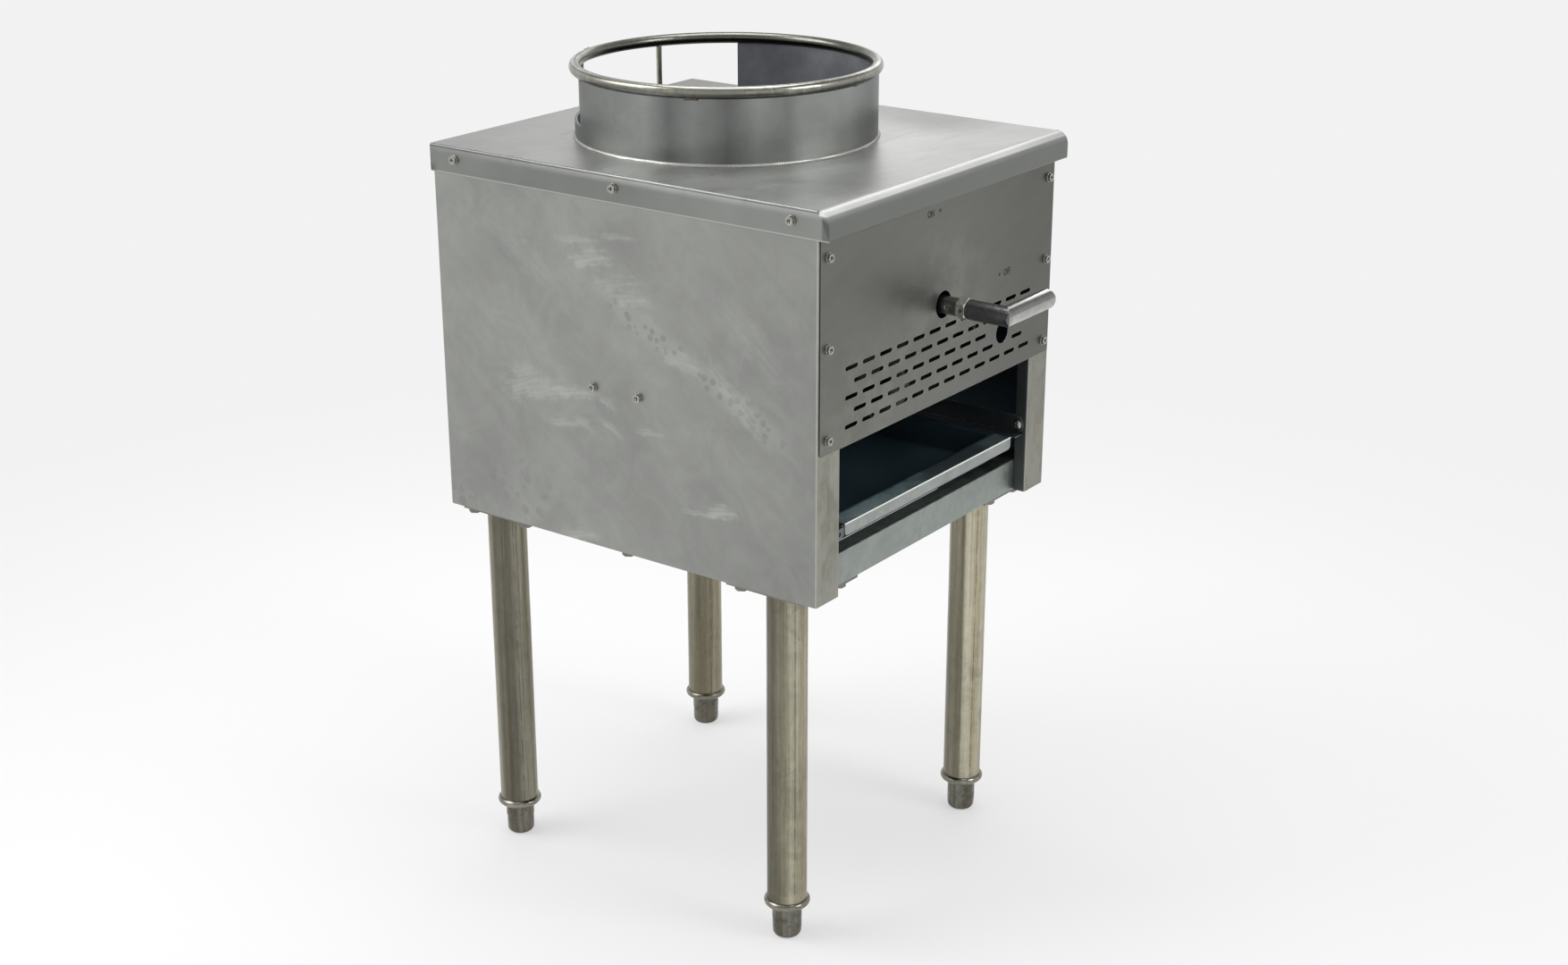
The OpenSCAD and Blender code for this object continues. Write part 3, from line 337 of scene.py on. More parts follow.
class Effect:
    """A shader group that is built once and placed in each finish with its own values."""

    title: str = ""
    ports: tuple[Port, ...] = ()
    gives: tuple[Port, ...] = ()

    def draw(self, graph: Graph, given: Wires) -> Wires:
        """Adds the group's own nodes.

        Args:
            graph: The group's graph.
            given: The group's inputs by name.

        Returns:
            The group's outputs by name.
        """
        raise NotImplementedError

    def tree(self) -> bpy.types.NodeTree:
        """The group's tree, made at the first call.

        Returns:
            The tree.
        """
        found = bpy.data.node_groups.get(self.title)
        if found:
            return found
        tree = bpy.data.node_groups.new(self.title, "ShaderNodeTree")
        for port in self.ports:
            socket = tree.interface.new_socket(name=port.name, in_out="INPUT", socket_type=port.kind.value)
            socket.default_value = port.start
        for port in self.gives:
            tree.interface.new_socket(name=port.name, in_out="OUTPUT", socket_type=port.kind.value)
        graph = Graph(tree)
        start, end = graph.add("NodeGroupInput"), graph.add("NodeGroupOutput")
        made = self.draw(graph, {port.name: Wire(graph, start.outputs[port.name]) for port in self.ports})
        for port in self.gives:
            graph.plug(end.inputs[port.name], made[port.name])
        return tree

    def place(self, graph: Graph, **values: Value) -> Wires:
        """Places the group in a graph.

        Args:
            graph: The finish's graph.
            values: The group's inputs, with underscores for spaces.

        Returns:
            The group's outputs by name.
        """
        node = graph.add("ShaderNodeGroup", {"node_tree": self.tree()}, **values)
        return {port.name: Wire(graph, node.outputs[port.name]) for port in self.gives}


class BrushedGrain(Effect):
    """Fine lines that a brushing belt leaves, long in one direction."""

    title = "brushed grain"
    ports = (POSITION, Port("Stretch", Kind.VECTOR, (1.0, 1.0, 1.0)))
    gives = (Port("Streak"), Port("Height"))

    def draw(self, graph: Graph, given: Wires) -> Wires:
        """Two noises stretched along the brushing.

        Args:
            graph: The group's graph.
            given: The group's inputs by name.

        Returns:
            The group's outputs by name.
        """
        place = graph.stretch(given["Position"], given["Stretch"])
        coarse = graph.noise(place, 1.0, 4.0, 0.7)
        fine = graph.noise(place, 5.0, 2.0, 0.6)
        streak = coarse * 0.6 + fine * 0.4
        return {"Streak": streak, "Height": fine}


class CloudyStain(Effect):
    """Slow cloudy change over a sheet, from handling and wiping."""

    title = "cloudy stain"
    ports = (POSITION, Port("Scale", Kind.VALUE, 6.0))
    gives = (Port("Cloud"), Port("Wisp"))

    def draw(self, graph: Graph, given: Wires) -> Wires:
        """A slow noise and a more broken one.

        Args:
            graph: The group's graph.
            given: The group's inputs by name.

        Returns:
            The group's outputs by name.
        """
        cloud = graph.noise(given["Position"], given["Scale"], 5.0, 0.55, 0.6)
        wisp = graph.noise(given["Position"], given["Scale"] * 4.0, 6.0, 0.65, 1.2)
        return {"Cloud": graph.ease(cloud, 0.3, 0.7), "Wisp": graph.ease(wisp, 0.35, 0.68)}


class FineScratches(Effect):
    """Hair scratches that run one way across a sheet, a little bent, and broad bands along them."""

    title = "fine scratches"
    ports = (POSITION, Port("Turn", Kind.VECTOR, ORIGIN))
    gives = (Port("Hairs"), Port("Bands"))

    def draw(self, graph: Graph, given: Wires) -> Wires:
        """Noise stretched along the turned x axis.

        Args:
            graph: The group's graph.
            given: The group's inputs by name.

        Returns:
            The group's outputs by name.
        """
        swirl = graph.noise(given["Position"], 5.0, 2.0, 0.5)
        bent = graph.vector("ADD", given["Position"], graph.shade(graph.join(swirl, swirl, swirl), 0.03))
        turned = graph.add("ShaderNodeVectorRotate", {"rotation_type": "EULER_XYZ"}, Vector=bent,
                           Rotation=given["Turn"]).outputs[0]
        hairs = graph.noise(graph.stretch(turned, (14.0, 700.0, 700.0)), 1.0, 2.0, 0.5)
        bands = graph.noise(graph.stretch(turned, (5.0, 70.0, 70.0)), 1.0, 4.0, 0.6)
        return {"Hairs": graph.ease(hairs, 0.62, 0.8), "Bands": graph.ease(bands, 0.3, 0.7)}


class WipedSmear(Effect):
    """A pale smear left where a sheet was wiped, with streaks in it."""

    title = "wiped smear"
    ports = (POSITION, Port("Centre", Kind.VECTOR, ORIGIN), Port("Turn", Kind.VALUE, 0.0),
             Port("Length", Kind.VALUE, 0.05), Port("Width", Kind.VALUE, 0.02))
    gives = (Port("Mask"),)

    def draw(self, graph: Graph, given: Wires) -> Wires:
        """A soft oval in the y and z plane, broken by streaks along its length.

        Args:
            graph: The group's graph.
            given: The group's inputs by name.

        Returns:
            The group's outputs by name.
        """
        away = graph.vector("SUBTRACT", given["Position"], given["Centre"])
        turned = graph.add("ShaderNodeVectorRotate", {"rotation_type": "X_AXIS"}, Vector=away,
                           Angle=given["Turn"]).outputs[0]
        _, along, across = graph.split(turned)
        ragged = graph.noise(turned, 75.0, 5.0, 0.7)
        a = along / given["Length"]
        b = across / given["Width"]
        reach = graph.radius(a, b) + (ragged - 0.5) * 2.0
        streaks = graph.noise(graph.stretch(turned, (1.0, 22.0, 260.0)), 1.0, 4.0, 0.65)
        body = graph.ease(reach, 1.05, 0.35)
        return {"Mask": body * graph.ease(streaks, 0.3, 0.62, 0.2, 1.0)}


class WornEdge(Effect):
    """Edges rounded, and a mask of them that finishes make lighter: rubbed bright by handling, and on sheets
    also a painted highlight.
    """

    title = "worn edge"
    ports = (Port("Radius", Kind.VALUE, 0.0006),)
    gives = (Port("Rub"), Port("Rounded", Kind.VECTOR))

    def draw(self, graph: Graph, given: Wires) -> Wires:
        """The rounded normal, and how far it turns from the flat one.

        Args:
            graph: The group's graph.
            given: The group's inputs by name.

        Returns:
            The group's outputs by name.
        """
        bevel = graph.add("ShaderNodeBevel", {"samples": 6}, Radius=given["Radius"])
        flat = graph.add("ShaderNodeNewGeometry").outputs["Normal"]
        same = graph.vector("DOT_PRODUCT", bevel.outputs[0], flat)
        return {"Rub": graph.ease(same, 0.99, 0.8), "Rounded": bevel.outputs[0]}


class CreviceDirtAndShade(Effect):
    """Darkening in corners, recesses and under heads: some grit, and painted shade where light hardly
    reaches.
    """

    title = "crevice dirt"
    ports = (Port("Reach", Kind.VALUE, 0.01),)
    gives = (Port("DirtAndShade"),)

    def draw(self, graph: Graph, given: Wires) -> Wires:
        """How much of the surroundings is near.

        Args:
            graph: The group's graph.
            given: The group's inputs by name.

        Returns:
            The group's outputs by name.
        """
        near = graph.add("ShaderNodeAmbientOcclusion", {"samples": 6}, Distance=given["Reach"])
        return {"DirtAndShade": graph.ease(near.outputs["AO"], 0.75, 0.25)}


class InsideBox(Effect):
    """A mask for what lies inside a box, soft at its sides."""

    title = "inside box"
    ports = (POSITION, Port("Middle", Kind.VECTOR, ORIGIN),
             Port("Half size", Kind.VECTOR, (1.0, 1.0, 1.0)), Port("Softness", Kind.VALUE, 0.001))
    gives = (Port("Mask"),)

    def draw(self, graph: Graph, given: Wires) -> Wires:
        """The least depth inside the box's six sides.

        Args:
            graph: The group's graph.
            given: The group's inputs by name.

        Returns:
            The group's outputs by name.
        """
        away = graph.vector("ABSOLUTE", graph.vector("SUBTRACT", given["Position"], given["Middle"]))
        depth = graph.vector("SUBTRACT", given["Half size"], away)
        x, y, z = graph.split(depth)
        least = graph.math("MINIMUM", x, graph.math("MINIMUM", y, z))
        return {"Mask": graph.ease(least, 0.0, given["Softness"])}


class TubeBands(Effect):
    """Bands along a drawn tube, by the angle round its upright axis."""

    title = "tube bands"
    ports = (POSITION, AXIS_AT, Port("Seed", Kind.VALUE, 0.0))
    gives = (Port("Broad"), Port("Narrow"), Port("Side"))

    def draw(self, graph: Graph, given: Wires) -> Wires:
        """Noise on the angle, nearly the same all along the tube, and how far round towards one side.

        Args:
            graph: The group's graph.
            given: The group's inputs by name.

        Returns:
            The group's outputs by name.
        """
        x, y, z = graph.split(graph.vector("SUBTRACT", given["Position"], given["Axis at"]))
        angle = graph.math("ARCTAN2", y, x)
        c, s = graph.math("COSINE", angle), graph.math("SINE", angle)
        round_tube = graph.join(c, s, z * 0.5 + given["Seed"])
        side = c * VIEW_RIGHT[0] + s * VIEW_RIGHT[1]
        broad, narrow = graph.noise(round_tube, 1.6, 3.0, 0.6), graph.noise(round_tube, 9.0, 4.0, 0.7)
        return {"Broad": broad, "Narrow": narrow, "Side": side}


class CastSkin(Effect):
    """The sandy skin of a casting."""

    title = "cast skin"
    ports = (POSITION, Port("Scale", Kind.VALUE, 300.0))
    gives = (Port("Height"), Port("Patch"))

    def draw(self, graph: Graph, given: Wires) -> Wires:
        """Grains and a few pits.

        Args:
            graph: The group's graph.
            given: The group's inputs by name.

        Returns:
            The group's outputs by name.
        """
        grain = graph.noise(given["Position"], given["Scale"], 4.0, 0.6)
        cells = graph.cells(given["Position"], given["Scale"] * 0.7)
        height = grain + graph.ease(cells, 0.0, 0.35) * 0.5
        patch = graph.noise(given["Position"], 22.0, 4.0, 0.6)
        return {"Height": height, "Patch": graph.ease(patch, 0.35, 0.65)}


class ZincSpangle(Effect):
    """The crystals of a galvanised coat."""

    title = "zinc spangle"
    ports = (POSITION, Port("Scale", Kind.VALUE, 90.0))
    gives = (Port("Crystal"), Port("Bloom"))

    def draw(self, graph: Graph, given: Wires) -> Wires:
        """A tone for each cell, and a white bloom over them.

        Args:
            graph: The group's graph.
            given: The group's inputs by name.

        Returns:
            The group's outputs by name.
        """
        wave = graph.add("ShaderNodeTexNoise", Vector=given["Position"], Scale=40.0).outputs["Color"]
        warped = graph.vector("ADD", given["Position"], graph.shade(wave, 0.012))
        cells = graph.add("ShaderNodeTexVoronoi", Vector=warped, Scale=given["Scale"])
        crystal = graph.split(cells.outputs["Color"])[0]
        bloom = graph.ease(graph.noise(given["Position"], 9.0, 5.0, 0.65, 0.8), 0.45, 0.75)
        return {"Crystal": crystal, "Bloom": bloom}


class HeatTint(Effect):
    """The straw, brown and blue that heat leaves on steel, by the distance from a point."""

    title = "heat tint"
    ports = (POSITION, Port("Source", Kind.VECTOR, ORIGIN),
             Port("Near", Kind.VALUE, 0.02), Port("Far", Kind.VALUE, 0.1))
    gives = (Port("Tint", Kind.COLOUR), Port("Mask"))

    def draw(self, graph: Graph, given: Wires) -> Wires:
        """A ramp of oxide colours that fades out.

        Args:
            graph: The group's graph.
            given: The group's inputs by name.

        Returns:
            The group's outputs by name.
        """
        away = graph.vector("DISTANCE", given["Position"], given["Source"])
        ragged = (graph.noise(given["Position"], 30.0, 3.0) - 0.5) * 0.35
        share = (away - given["Near"]) / (given["Far"] - given["Near"]) + ragged
        ramp = graph.add("ShaderNodeValToRGB", Fac=share)
        ramp.color_ramp.elements[0].color = (0.10, 0.12, 0.17, 1)
        ramp.color_ramp.elements[1].color = (0.62, 0.58, 0.48, 1)
        for place, colour in ((0.35, (0.25, 0.16, 0.10, 1)), (0.65, (0.50, 0.38, 0.22, 1))):
            ramp.color_ramp.elements.new(place).color = colour
        return {"Tint": ramp.outputs["Color"], "Mask": graph.ease(share, 1.0, 0.2)}


class ScrewThread(Effect):
    """The ridges of a thread about an axis along y or z."""

    title = "screw thread"
    ports = (Port("Along", Kind.VALUE, 0.0), Port("Angle", Kind.VALUE, 0.0), Port("Pitch", Kind.VALUE, 0.001))
    gives = (Port("Ridge"),)

    def draw(self, graph: Graph, given: Wires) -> Wires:
        """A saw of the distance along the axis less the turn.

        Args:
            graph: The group's graph.
            given: The group's inputs by name.

        Returns:
            The group's outputs by name.
        """
        turns = given["Along"] / given["Pitch"] - given["Angle"] / math.tau
        return {"Ridge": graph.math("PINGPONG", turns, 0.5)}


class WeldRipple(Effect):
    """The overlapping scales of a weld round an upright axis."""

    title = "weld ripple"
    ports = (POSITION, AXIS_AT, Port("Count", Kind.VALUE, 300.0))
    gives = (Port("Height"), Port("Burn"))

    def draw(self, graph: Graph, given: Wires) -> Wires:
        """A wave of the angle, shaken by noise.

        Args:
            graph: The group's graph.
            given: The group's inputs by name.

        Returns:
            The group's outputs by name.
        """
        x, y, _ = graph.split(graph.vector("SUBTRACT", given["Position"], given["Axis at"]))
        angle = graph.math("ARCTAN2", y, x)
        shaken = angle + graph.noise(given["Position"], 60.0, 2.0) * 0.03
        wave = graph.math("SINE", shaken * given["Count"])
        return {"Height": wave * 0.5 + 0.5, "Burn": graph.noise(given["Position"], 45.0, 4.0)}


@dataclass(frozen=True)
class Finish:
    """What every finish has: a name, a colour as it looks in even light, a roughness and a metallic share."""

    name: str
    colour: Colour
    rough: float = 0.4
    metal: float = 1.0

    def make(self) -> bpy.types.Material:
        """The finish's material, made at the first call.

        Returns:
            The material.
        """
        name = "finish_" + self.name
        found = bpy.data.materials.get(name)
        if found:
            return found
        material = bpy.data.materials.new(name)
        self.paint(Coat(material, self.metal, self.rough))
        return material

    def tint(self, by: float, more: float = 0.0) -> Colour:
        """The finish's colour, lighter or darker."""
        return tuple(min(c * by + more, 1.0) for c in self.colour)

    def paint(self, graph: Coat) -> None:
        """Adds the finish's own nodes.

        Args:
            graph: The material's graph.
        """
        raise NotImplementedError


@dataclass(frozen=True)
class Smear:
    """One wiped smear on the side panels: its middle, its tilt, its half sizes and its strength."""

    y: float
    z: float
    turn: float
    length: float
    width: float
    share: float = 0.5


@dataclass(frozen=True)
class PaintedShade:
    """The box inside which a sheet is darkened as painted shade, and its colour there.

    Behind the cabinet's front edge the painted shade grows from one distance to another, and starts from a
    share.
    """

    low: Point
    high: Point
    colour: Colour = (0.018, 0.028, 0.034)
    soft: float = 0.3 * MM
    front_fade: tuple[float, float, float] = (0.0, 0.001, 1.0)

    def mask(self, graph: Coat) -> Wire:
        """The mask of the painted shade inside, weaker in front where light comes in.

        Args:
            graph: The material's graph.

        Returns:
            The mask.
        """
        middle = tuple((a + b) / 2 for a, b in zip(self.low, self.high))
        half = tuple((b - a) / 2 for a, b in zip(self.low, self.high))
        box = InsideBox().place(graph, Position=graph.place, Middle=middle, Half_size=half,
                                Softness=self.soft)
        front, back, share = self.front_fade
        _, y, _ = graph.split(graph.place)
        return box["Mask"] * graph.ease(y, FRONT_Y + front, FRONT_Y + back, share, 1.0)


# painted shade inside the cabinet, lighter towards its front edge
CABINET_INSIDE = PaintedShade((-HALF_W + 0.6 * MM, FRONT_Y + 0.6 * MM, 0.1),
                      (HALF_W - 0.6 * MM, FRONT_Y + 511.4 * MM, DECK_Z - 0.8 * MM),
                      front_fade=(0.012, 0.022, 0.72))


@dataclass(frozen=True)
class SheetSteel(Finish):
    """Brushed stainless sheet with cloudy marks, hair scratches, smears, rubbed and painted edge highlights
    and painted shade.
    """

    grain: Grain = Grain.ALONG_X
    lines: float = 0.10
    cloud: float = 0.14
    hairs: float = 0.10
    turn: Point = ORIGIN
    scale: float = 6.0
    smears: tuple[Smear, ...] = ()
    painted_shade: Optional[PaintedShade] = None
    edge: float = 0.7 * MM
    # how much the edges are made lighter: partly wear, partly painted highlight
    lighten: float = 0.35
    gap_shade: float = 0.5
    round_brush: float = 0.0

    def tone(self, graph: Coat, colour: Wire) -> Wire:
        """Lets a finish change the colour once more before the smears.

        Args:
            graph: The material's graph.
            colour: The colour so far.

        Returns:
            The new colour.
        """
        return colour

    def paint(self, graph: Coat) -> None:
        """Adds grain, clouds, scratches, smears, painted shade in gaps and inside, and edges worn bright with
        painted highlight.

        Args:
            graph: The material's graph.
        """
        place = graph.place
        grain = BrushedGrain().place(graph, Position=place, Stretch=self.grain.value)
        stain = CloudyStain().place(graph, Position=place, Scale=self.scale)
        marks = FineScratches().place(graph, Position=place, Turn=self.turn)
        worn = WornEdge().place(graph, Radius=self.edge)
        light = (stain["Cloud"] - 0.5) * self.cloud + 1.0
        light = (stain["Wisp"] - 0.5) * (self.cloud * 0.5) + light
        light = (grain["Streak"] - 0.5) * (self.lines * 2.2) + light
        light = (marks["Bands"] - 0.5) * self.hairs + light
        light = marks["Hairs"] * self.hairs + light
        colour = self.tone(graph, graph.shade(self.colour, light))
        rough = (stain["Cloud"] - 0.5) * 0.10 + self.rough
        rough = (grain["Streak"] - 0.5) * 0.18 + rough
        for smear in self.smears:
            wiped = WipedSmear().place(graph, Position=place, Centre=(-HALF_W, smear.y, smear.z),
                                       Turn=smear.turn, Length=smear.length, Width=smear.width)
            share = wiped["Mask"] * smear.share
            colour = graph.mix(share, colour, self.tint(1.5, 0.03))
            rough = graph.blend(share, rough, self.rough + 0.12)
        # edges made lighter: partly rubbed bright, partly painted highlight
        colour = graph.mix(worn["Rub"] * self.lighten, colour, self.tint(1.7, 0.08))
        # painted shade in gaps and corners, from the crevice mask
        near = CreviceDirtAndShade().place(graph, Reach=6 * MM)["DirtAndShade"]
        colour = graph.mix(near * self.gap_shade, colour, (0.03, 0.03, 0.027))
        # painted shade inside the box, and rougher there
        if self.painted_shade:
            dark = self.painted_shade.mask(graph)
            colour = graph.mix(dark, colour, self.painted_shade.colour)
            rough = graph.blend(dark, rough, 0.6)
        if self.round_brush:
            graph.shader.inputs["Anisotropic"].default_value = self.round_brush
            tangent = graph.add("ShaderNodeTangent", {"direction_type": "RADIAL", "axis": "Z"})
            graph.plug(graph.shader.inputs["Tangent"], tangent.outputs[0])
        graph.settle(colour, rough, grain["Height"], 0.02 * MM, worn["Rounded"], 0.5)


@dataclass(frozen=True)
class SidePanel(SheetSteel):
    """A side panel: its front post is rubbed upright and a shade darker, its lower part stained; light and
    shade painted on.
    """

    def tone(self, graph: Coat, colour: Wire) -> Wire:
        """Stains low down, a rising band of specks, streaks and brown patches on the post, and painted light
        and shade.

        Args:
            graph: The material's graph.
            colour: The colour so far.

        Returns:
            The new colour.
        """
        place = graph.place
        x, y, z = graph.split(place)
        rings = graph.ease(graph.cells(place, 70.0), 0.46, 0.34)
        wet = graph.ease(z, BASE_Z + 110 * MM, BASE_Z + 20 * MM) * graph.ease(y, -0.02, 0.12)
        patch = graph.ease(graph.noise(place, 14.0, 3.0), 0.42, 0.6)
        colour = graph.mix(rings * wet * (patch * 0.4), colour, self.tint(0.62))
        # painted shade: darker towards the bottom and towards the front
        colour = graph.shade(colour, graph.ease(z, BASE_Z + 240 * MM, BASE_Z + 30 * MM, 1.02, 0.99))
        colour = graph.shade(colour, graph.ease(y, 0.10, FRONT_Y, 1.0, 0.875))
        chain = abs(z - (y * 0.52 + 0.697))
        along = graph.ease(y, 0.07, 0.02) * graph.ease(y, -0.225, -0.17)
        band = graph.ease(patch * -0.008 + chain, 0.020, 0.004) * along
        colour = graph.mix(band * 0.30, colour, self.tint(1.35))
        dots = graph.ease(graph.cells(place, 95.0), 0.42, 0.3) * band
        colour = graph.mix(dots * 0.5, colour, self.tint(0.72))
        streaks = graph.noise(graph.stretch(place, (260.0, 1.0, 7.0)), 1.0, 4.0, 0.7)
        post = graph.ease(y, FRONT_Y + 0.5 * MM, FRONT_Y + 0.2 * MM)
        # painted light on the post, lighter and warmer, and painted shade on the right side's post
        colour = graph.mix(post, colour, graph.stretch(colour, (1.11, 1.09, 1.0)))
        colour = graph.shade(colour, graph.blend(post, 1.0, graph.ease(x, -0.1, 0.1, 1.0, 0.88)))
        rust = graph.ease(graph.noise(graph.stretch(place, (1.0, 1.0, 0.45)), 42.0, 5.0, 0.65), 0.46, 0.66)
        colour = graph.mix(rust * post * 0.42, colour, (0.15, 0.138, 0.10))
        # painted highlight along the fold between side and post
        fold = graph.ease(y, FRONT_Y + 1.9 * MM, FRONT_Y + 1.2 * MM) * (1.0 - post)
        colour = graph.mix(fold * 0.6, colour, self.tint(1.6))
        dark = graph.ease(streaks, 0.5, 0.75) * (post * 0.35)
        return graph.mix(dark, colour, (0.17, 0.165, 0.13))


@dataclass(frozen=True)
class FrontPanel(SheetSteel):
    """The front panel: in painted shade towards the right, painted light low down, and finger marks round the
    handle.
    """

    def tone(self, graph: Coat, colour: Wire) -> Wire:
        """Painted shade on the right, painted light low down and low on the left, smudged near the handle's
        hole.

        Args:
            graph: The material's graph.
            colour: The colour so far.

        Returns:
            The new colour.
        """
        place = graph.place
        x, _, z = graph.split(place)
        # painted shade towards the right and painted light towards the bottom
        colour = graph.shade(colour, graph.ease(x, -0.02, 0.21, 1.0, 0.78))
        colour = graph.shade(colour, graph.ease(z, 0.72, 0.56, 1.0, 1.11))
        patches = graph.ease(graph.noise(place, 22.0, 4.0, 0.6), 0.42, 0.62)
        # lighter smudges round the handle, and a smudged patch of painted light low on the left
        for spot, reach in (((0.0, PANEL_Y, HANDLE_Z), 0.12), ((-0.15, PANEL_Y, 0.60), 0.15)):
            apart = graph.vector("DISTANCE", place, spot)
            hands = patches * graph.ease(apart, reach, 0.02)
            colour = graph.mix(hands * 0.5, colour, self.tint(1.5))
        return colour


@dataclass(frozen=True)
class DeckSheet(SheetSteel):
    """The deck: its skirts and the under side of its nose are in painted shade, darker than its top."""

    # the skirts' colour, darker than the top's as painted shade
    shaded_skirt: Colour = (0.215, 0.22, 0.205)

    def tone(self, graph: Coat, colour: Wire) -> Wire:
        """Painted light, shade and highlights on the top, nose and skirts, smudges, and brown marks at the
        skirts' rear corners.

        Args:
            graph: The material's graph.
            colour: The colour so far.

        Returns:
            The new colour.
        """
        place = graph.place
        x, y, z = graph.split(place)
        broken = graph.noise(place, 9.0, 3.0)
        ring = graph.vector("DISTANCE", graph.stretch(place, (1.0, 1.0, 0.0)), RING_MIDDLE)
        # painted light round the ring and on the front left of the top, painted shade towards the back on the
        # right
        colour = graph.shade(colour, graph.ease(ring, 0.18, 0.30, 1.25, 1.0))
        left = graph.ease(x, -0.11, -0.19) * graph.ease(y, 0.10, -0.02)
        colour = graph.shade(colour, graph.blend(left, 1.0, 1.28))
        right = graph.ease(x, 0.10, 0.19) * graph.ease(y, -0.18, -0.11)
        colour = graph.shade(colour, graph.blend(right, 1.0, 0.70))
        smudge = graph.noise(graph.stretch(place, (9.0, 34.0, 1.0)), 1.0, 5.0, 0.7, 0.8)
        colour = graph.mix(graph.ease(smudge, 0.56, 0.72, 0.0, 0.35), colour, (0.20, 0.205, 0.195))
        # the skirts in painted shade, lighter towards the front and darker under the nose, with a painted
        # highlight along each hem
        shaded_skirt = graph.ease(z, DECK_Z - 1.5 * MM, DECK_Z - 11 * MM)
        dark = graph.shade(self.shaded_skirt, broken * 0.5 + 0.75)
        dark = graph.shade(dark, graph.ease(y, 0.05, -0.225, 1.14, 1.32))
        dark = graph.mix(graph.ease(y, -0.234, -0.238), dark, graph.shade(self.shaded_skirt, 0.85))
        dark = graph.stretch(dark, (0.995, 1.01, 1.02))
        hem = graph.ease(abs(x), HALF_W - 1.6 * MM, HALF_W - 1.2 * MM)
        hem = hem * graph.ease(z, DECK_Z - 28.5 * MM, DECK_Z - 29 * MM, 0.0, 0.6)
        dark = graph.mix(hem, dark, graph.shade(self.shaded_skirt, 2.6))
        colour = graph.mix(shaded_skirt, colour, dark)
        # painted shade on the bend at each side, dimming its highlight
        fold = graph.ease(abs(x), HALF_W - 1.2 * MM, HALF_W - 0.4 * MM)
        fold = fold * graph.ease(z, DECK_Z - 3.5 * MM, DECK_Z - 2.5 * MM)
        colour = graph.shade(colour, graph.blend(fold, 1.0, 0.48))
        # painted highlight along the nose's roll, fainter towards the right end
        roll = graph.ease(z, DECK_Z - 6.2 * MM, DECK_Z - 4 * MM) * graph.ease(z, DECK_Z, DECK_Z - 0.8 * MM)
        roll = roll * graph.ease(y, -0.232, -0.2335)
        colour = graph.mix(roll * graph.ease(x, 0.235, 0.10, 0.55, 0.9), colour, (0.93, 0.94, 0.93))
        corner = graph.ease(y, 0.272, 0.283) * graph.ease(graph.noise(place, 60.0, 3.0), 0.4, 0.6)
        return graph.mix(corner * shaded_skirt * 0.7, colour, (0.12, 0.095, 0.06))


@dataclass(frozen=True)
class RingWall(SheetSteel):
    """The ring's wall: painted reflection and shade in bands, brown where it was welded, dull and blued on
    the inside.
    """

    # painted reflection and shade by the angle round the ring, turned to the view
    bands: Stops = (
        (0.0, 1.0), (0.32, 0.95), (0.42, 1.5), (0.445, 0.8), (0.47, 1.15), (0.505, 0.7), (0.535, 1.35),
        (0.565, 1.0), (0.58, 1.4), (0.645, 1.6), (0.69, 0.97), (0.75, 1.0))

    def tone(self, graph: Coat, colour: Wire) -> Wire:
        """Upright bands of painted reflection and shade, a brown line above the weld and a dull inside.

        Args:
            graph: The material's graph.
            colour: The colour so far.

        Returns:
            The new colour.
        """
        place = graph.place
        x, y, z = graph.split(place)
        back = y - RING_Y
        side = x * VIEW_RIGHT[0] + back * VIEW_RIGHT[1]
        front = x * VIEW_RIGHT[1] + back * -VIEW_RIGHT[0]
        # painted reflection and shade in upright bands
        colour = graph.shade(colour, graph.ramp(graph.turn(side, front), self.bands))
        broken = graph.noise(place, 26.0, 4.0, 0.6)
        oxide = graph.shade((0.17, 0.18, 0.196), broken * 1.2 + 0.4)
        colour = graph.mix(self.inner(graph), colour, oxide)
        seam = graph.ease(z, DECK_Z + 9 * MM, DECK_Z + 3 * MM) * graph.ease(broken, 0.35, 0.7)
        return graph.mix(seam * 0.35, colour, (0.22, 0.18, 0.12))

    @staticmethod
    def inner(graph: Coat) -> Wire:
        """The mask of the wall's inside."""
        x, y, _ = graph.split(graph.vector("SUBTRACT", graph.place, RING_MIDDLE))
        return graph.ease(graph.radius(x, y), WALL_R + 0.5 * MM, WALL_R)

    def paint(self, graph: Coat) -> None:
        """Adds the sheet's marks, and an oxide on the inside that is hardly metallic.

        Args:
            graph: The material's graph.
        """
        super().paint(graph)
        graph.plug(graph.shader.inputs["Metallic"], graph.blend(self.inner(graph), 1.0, 0.25))


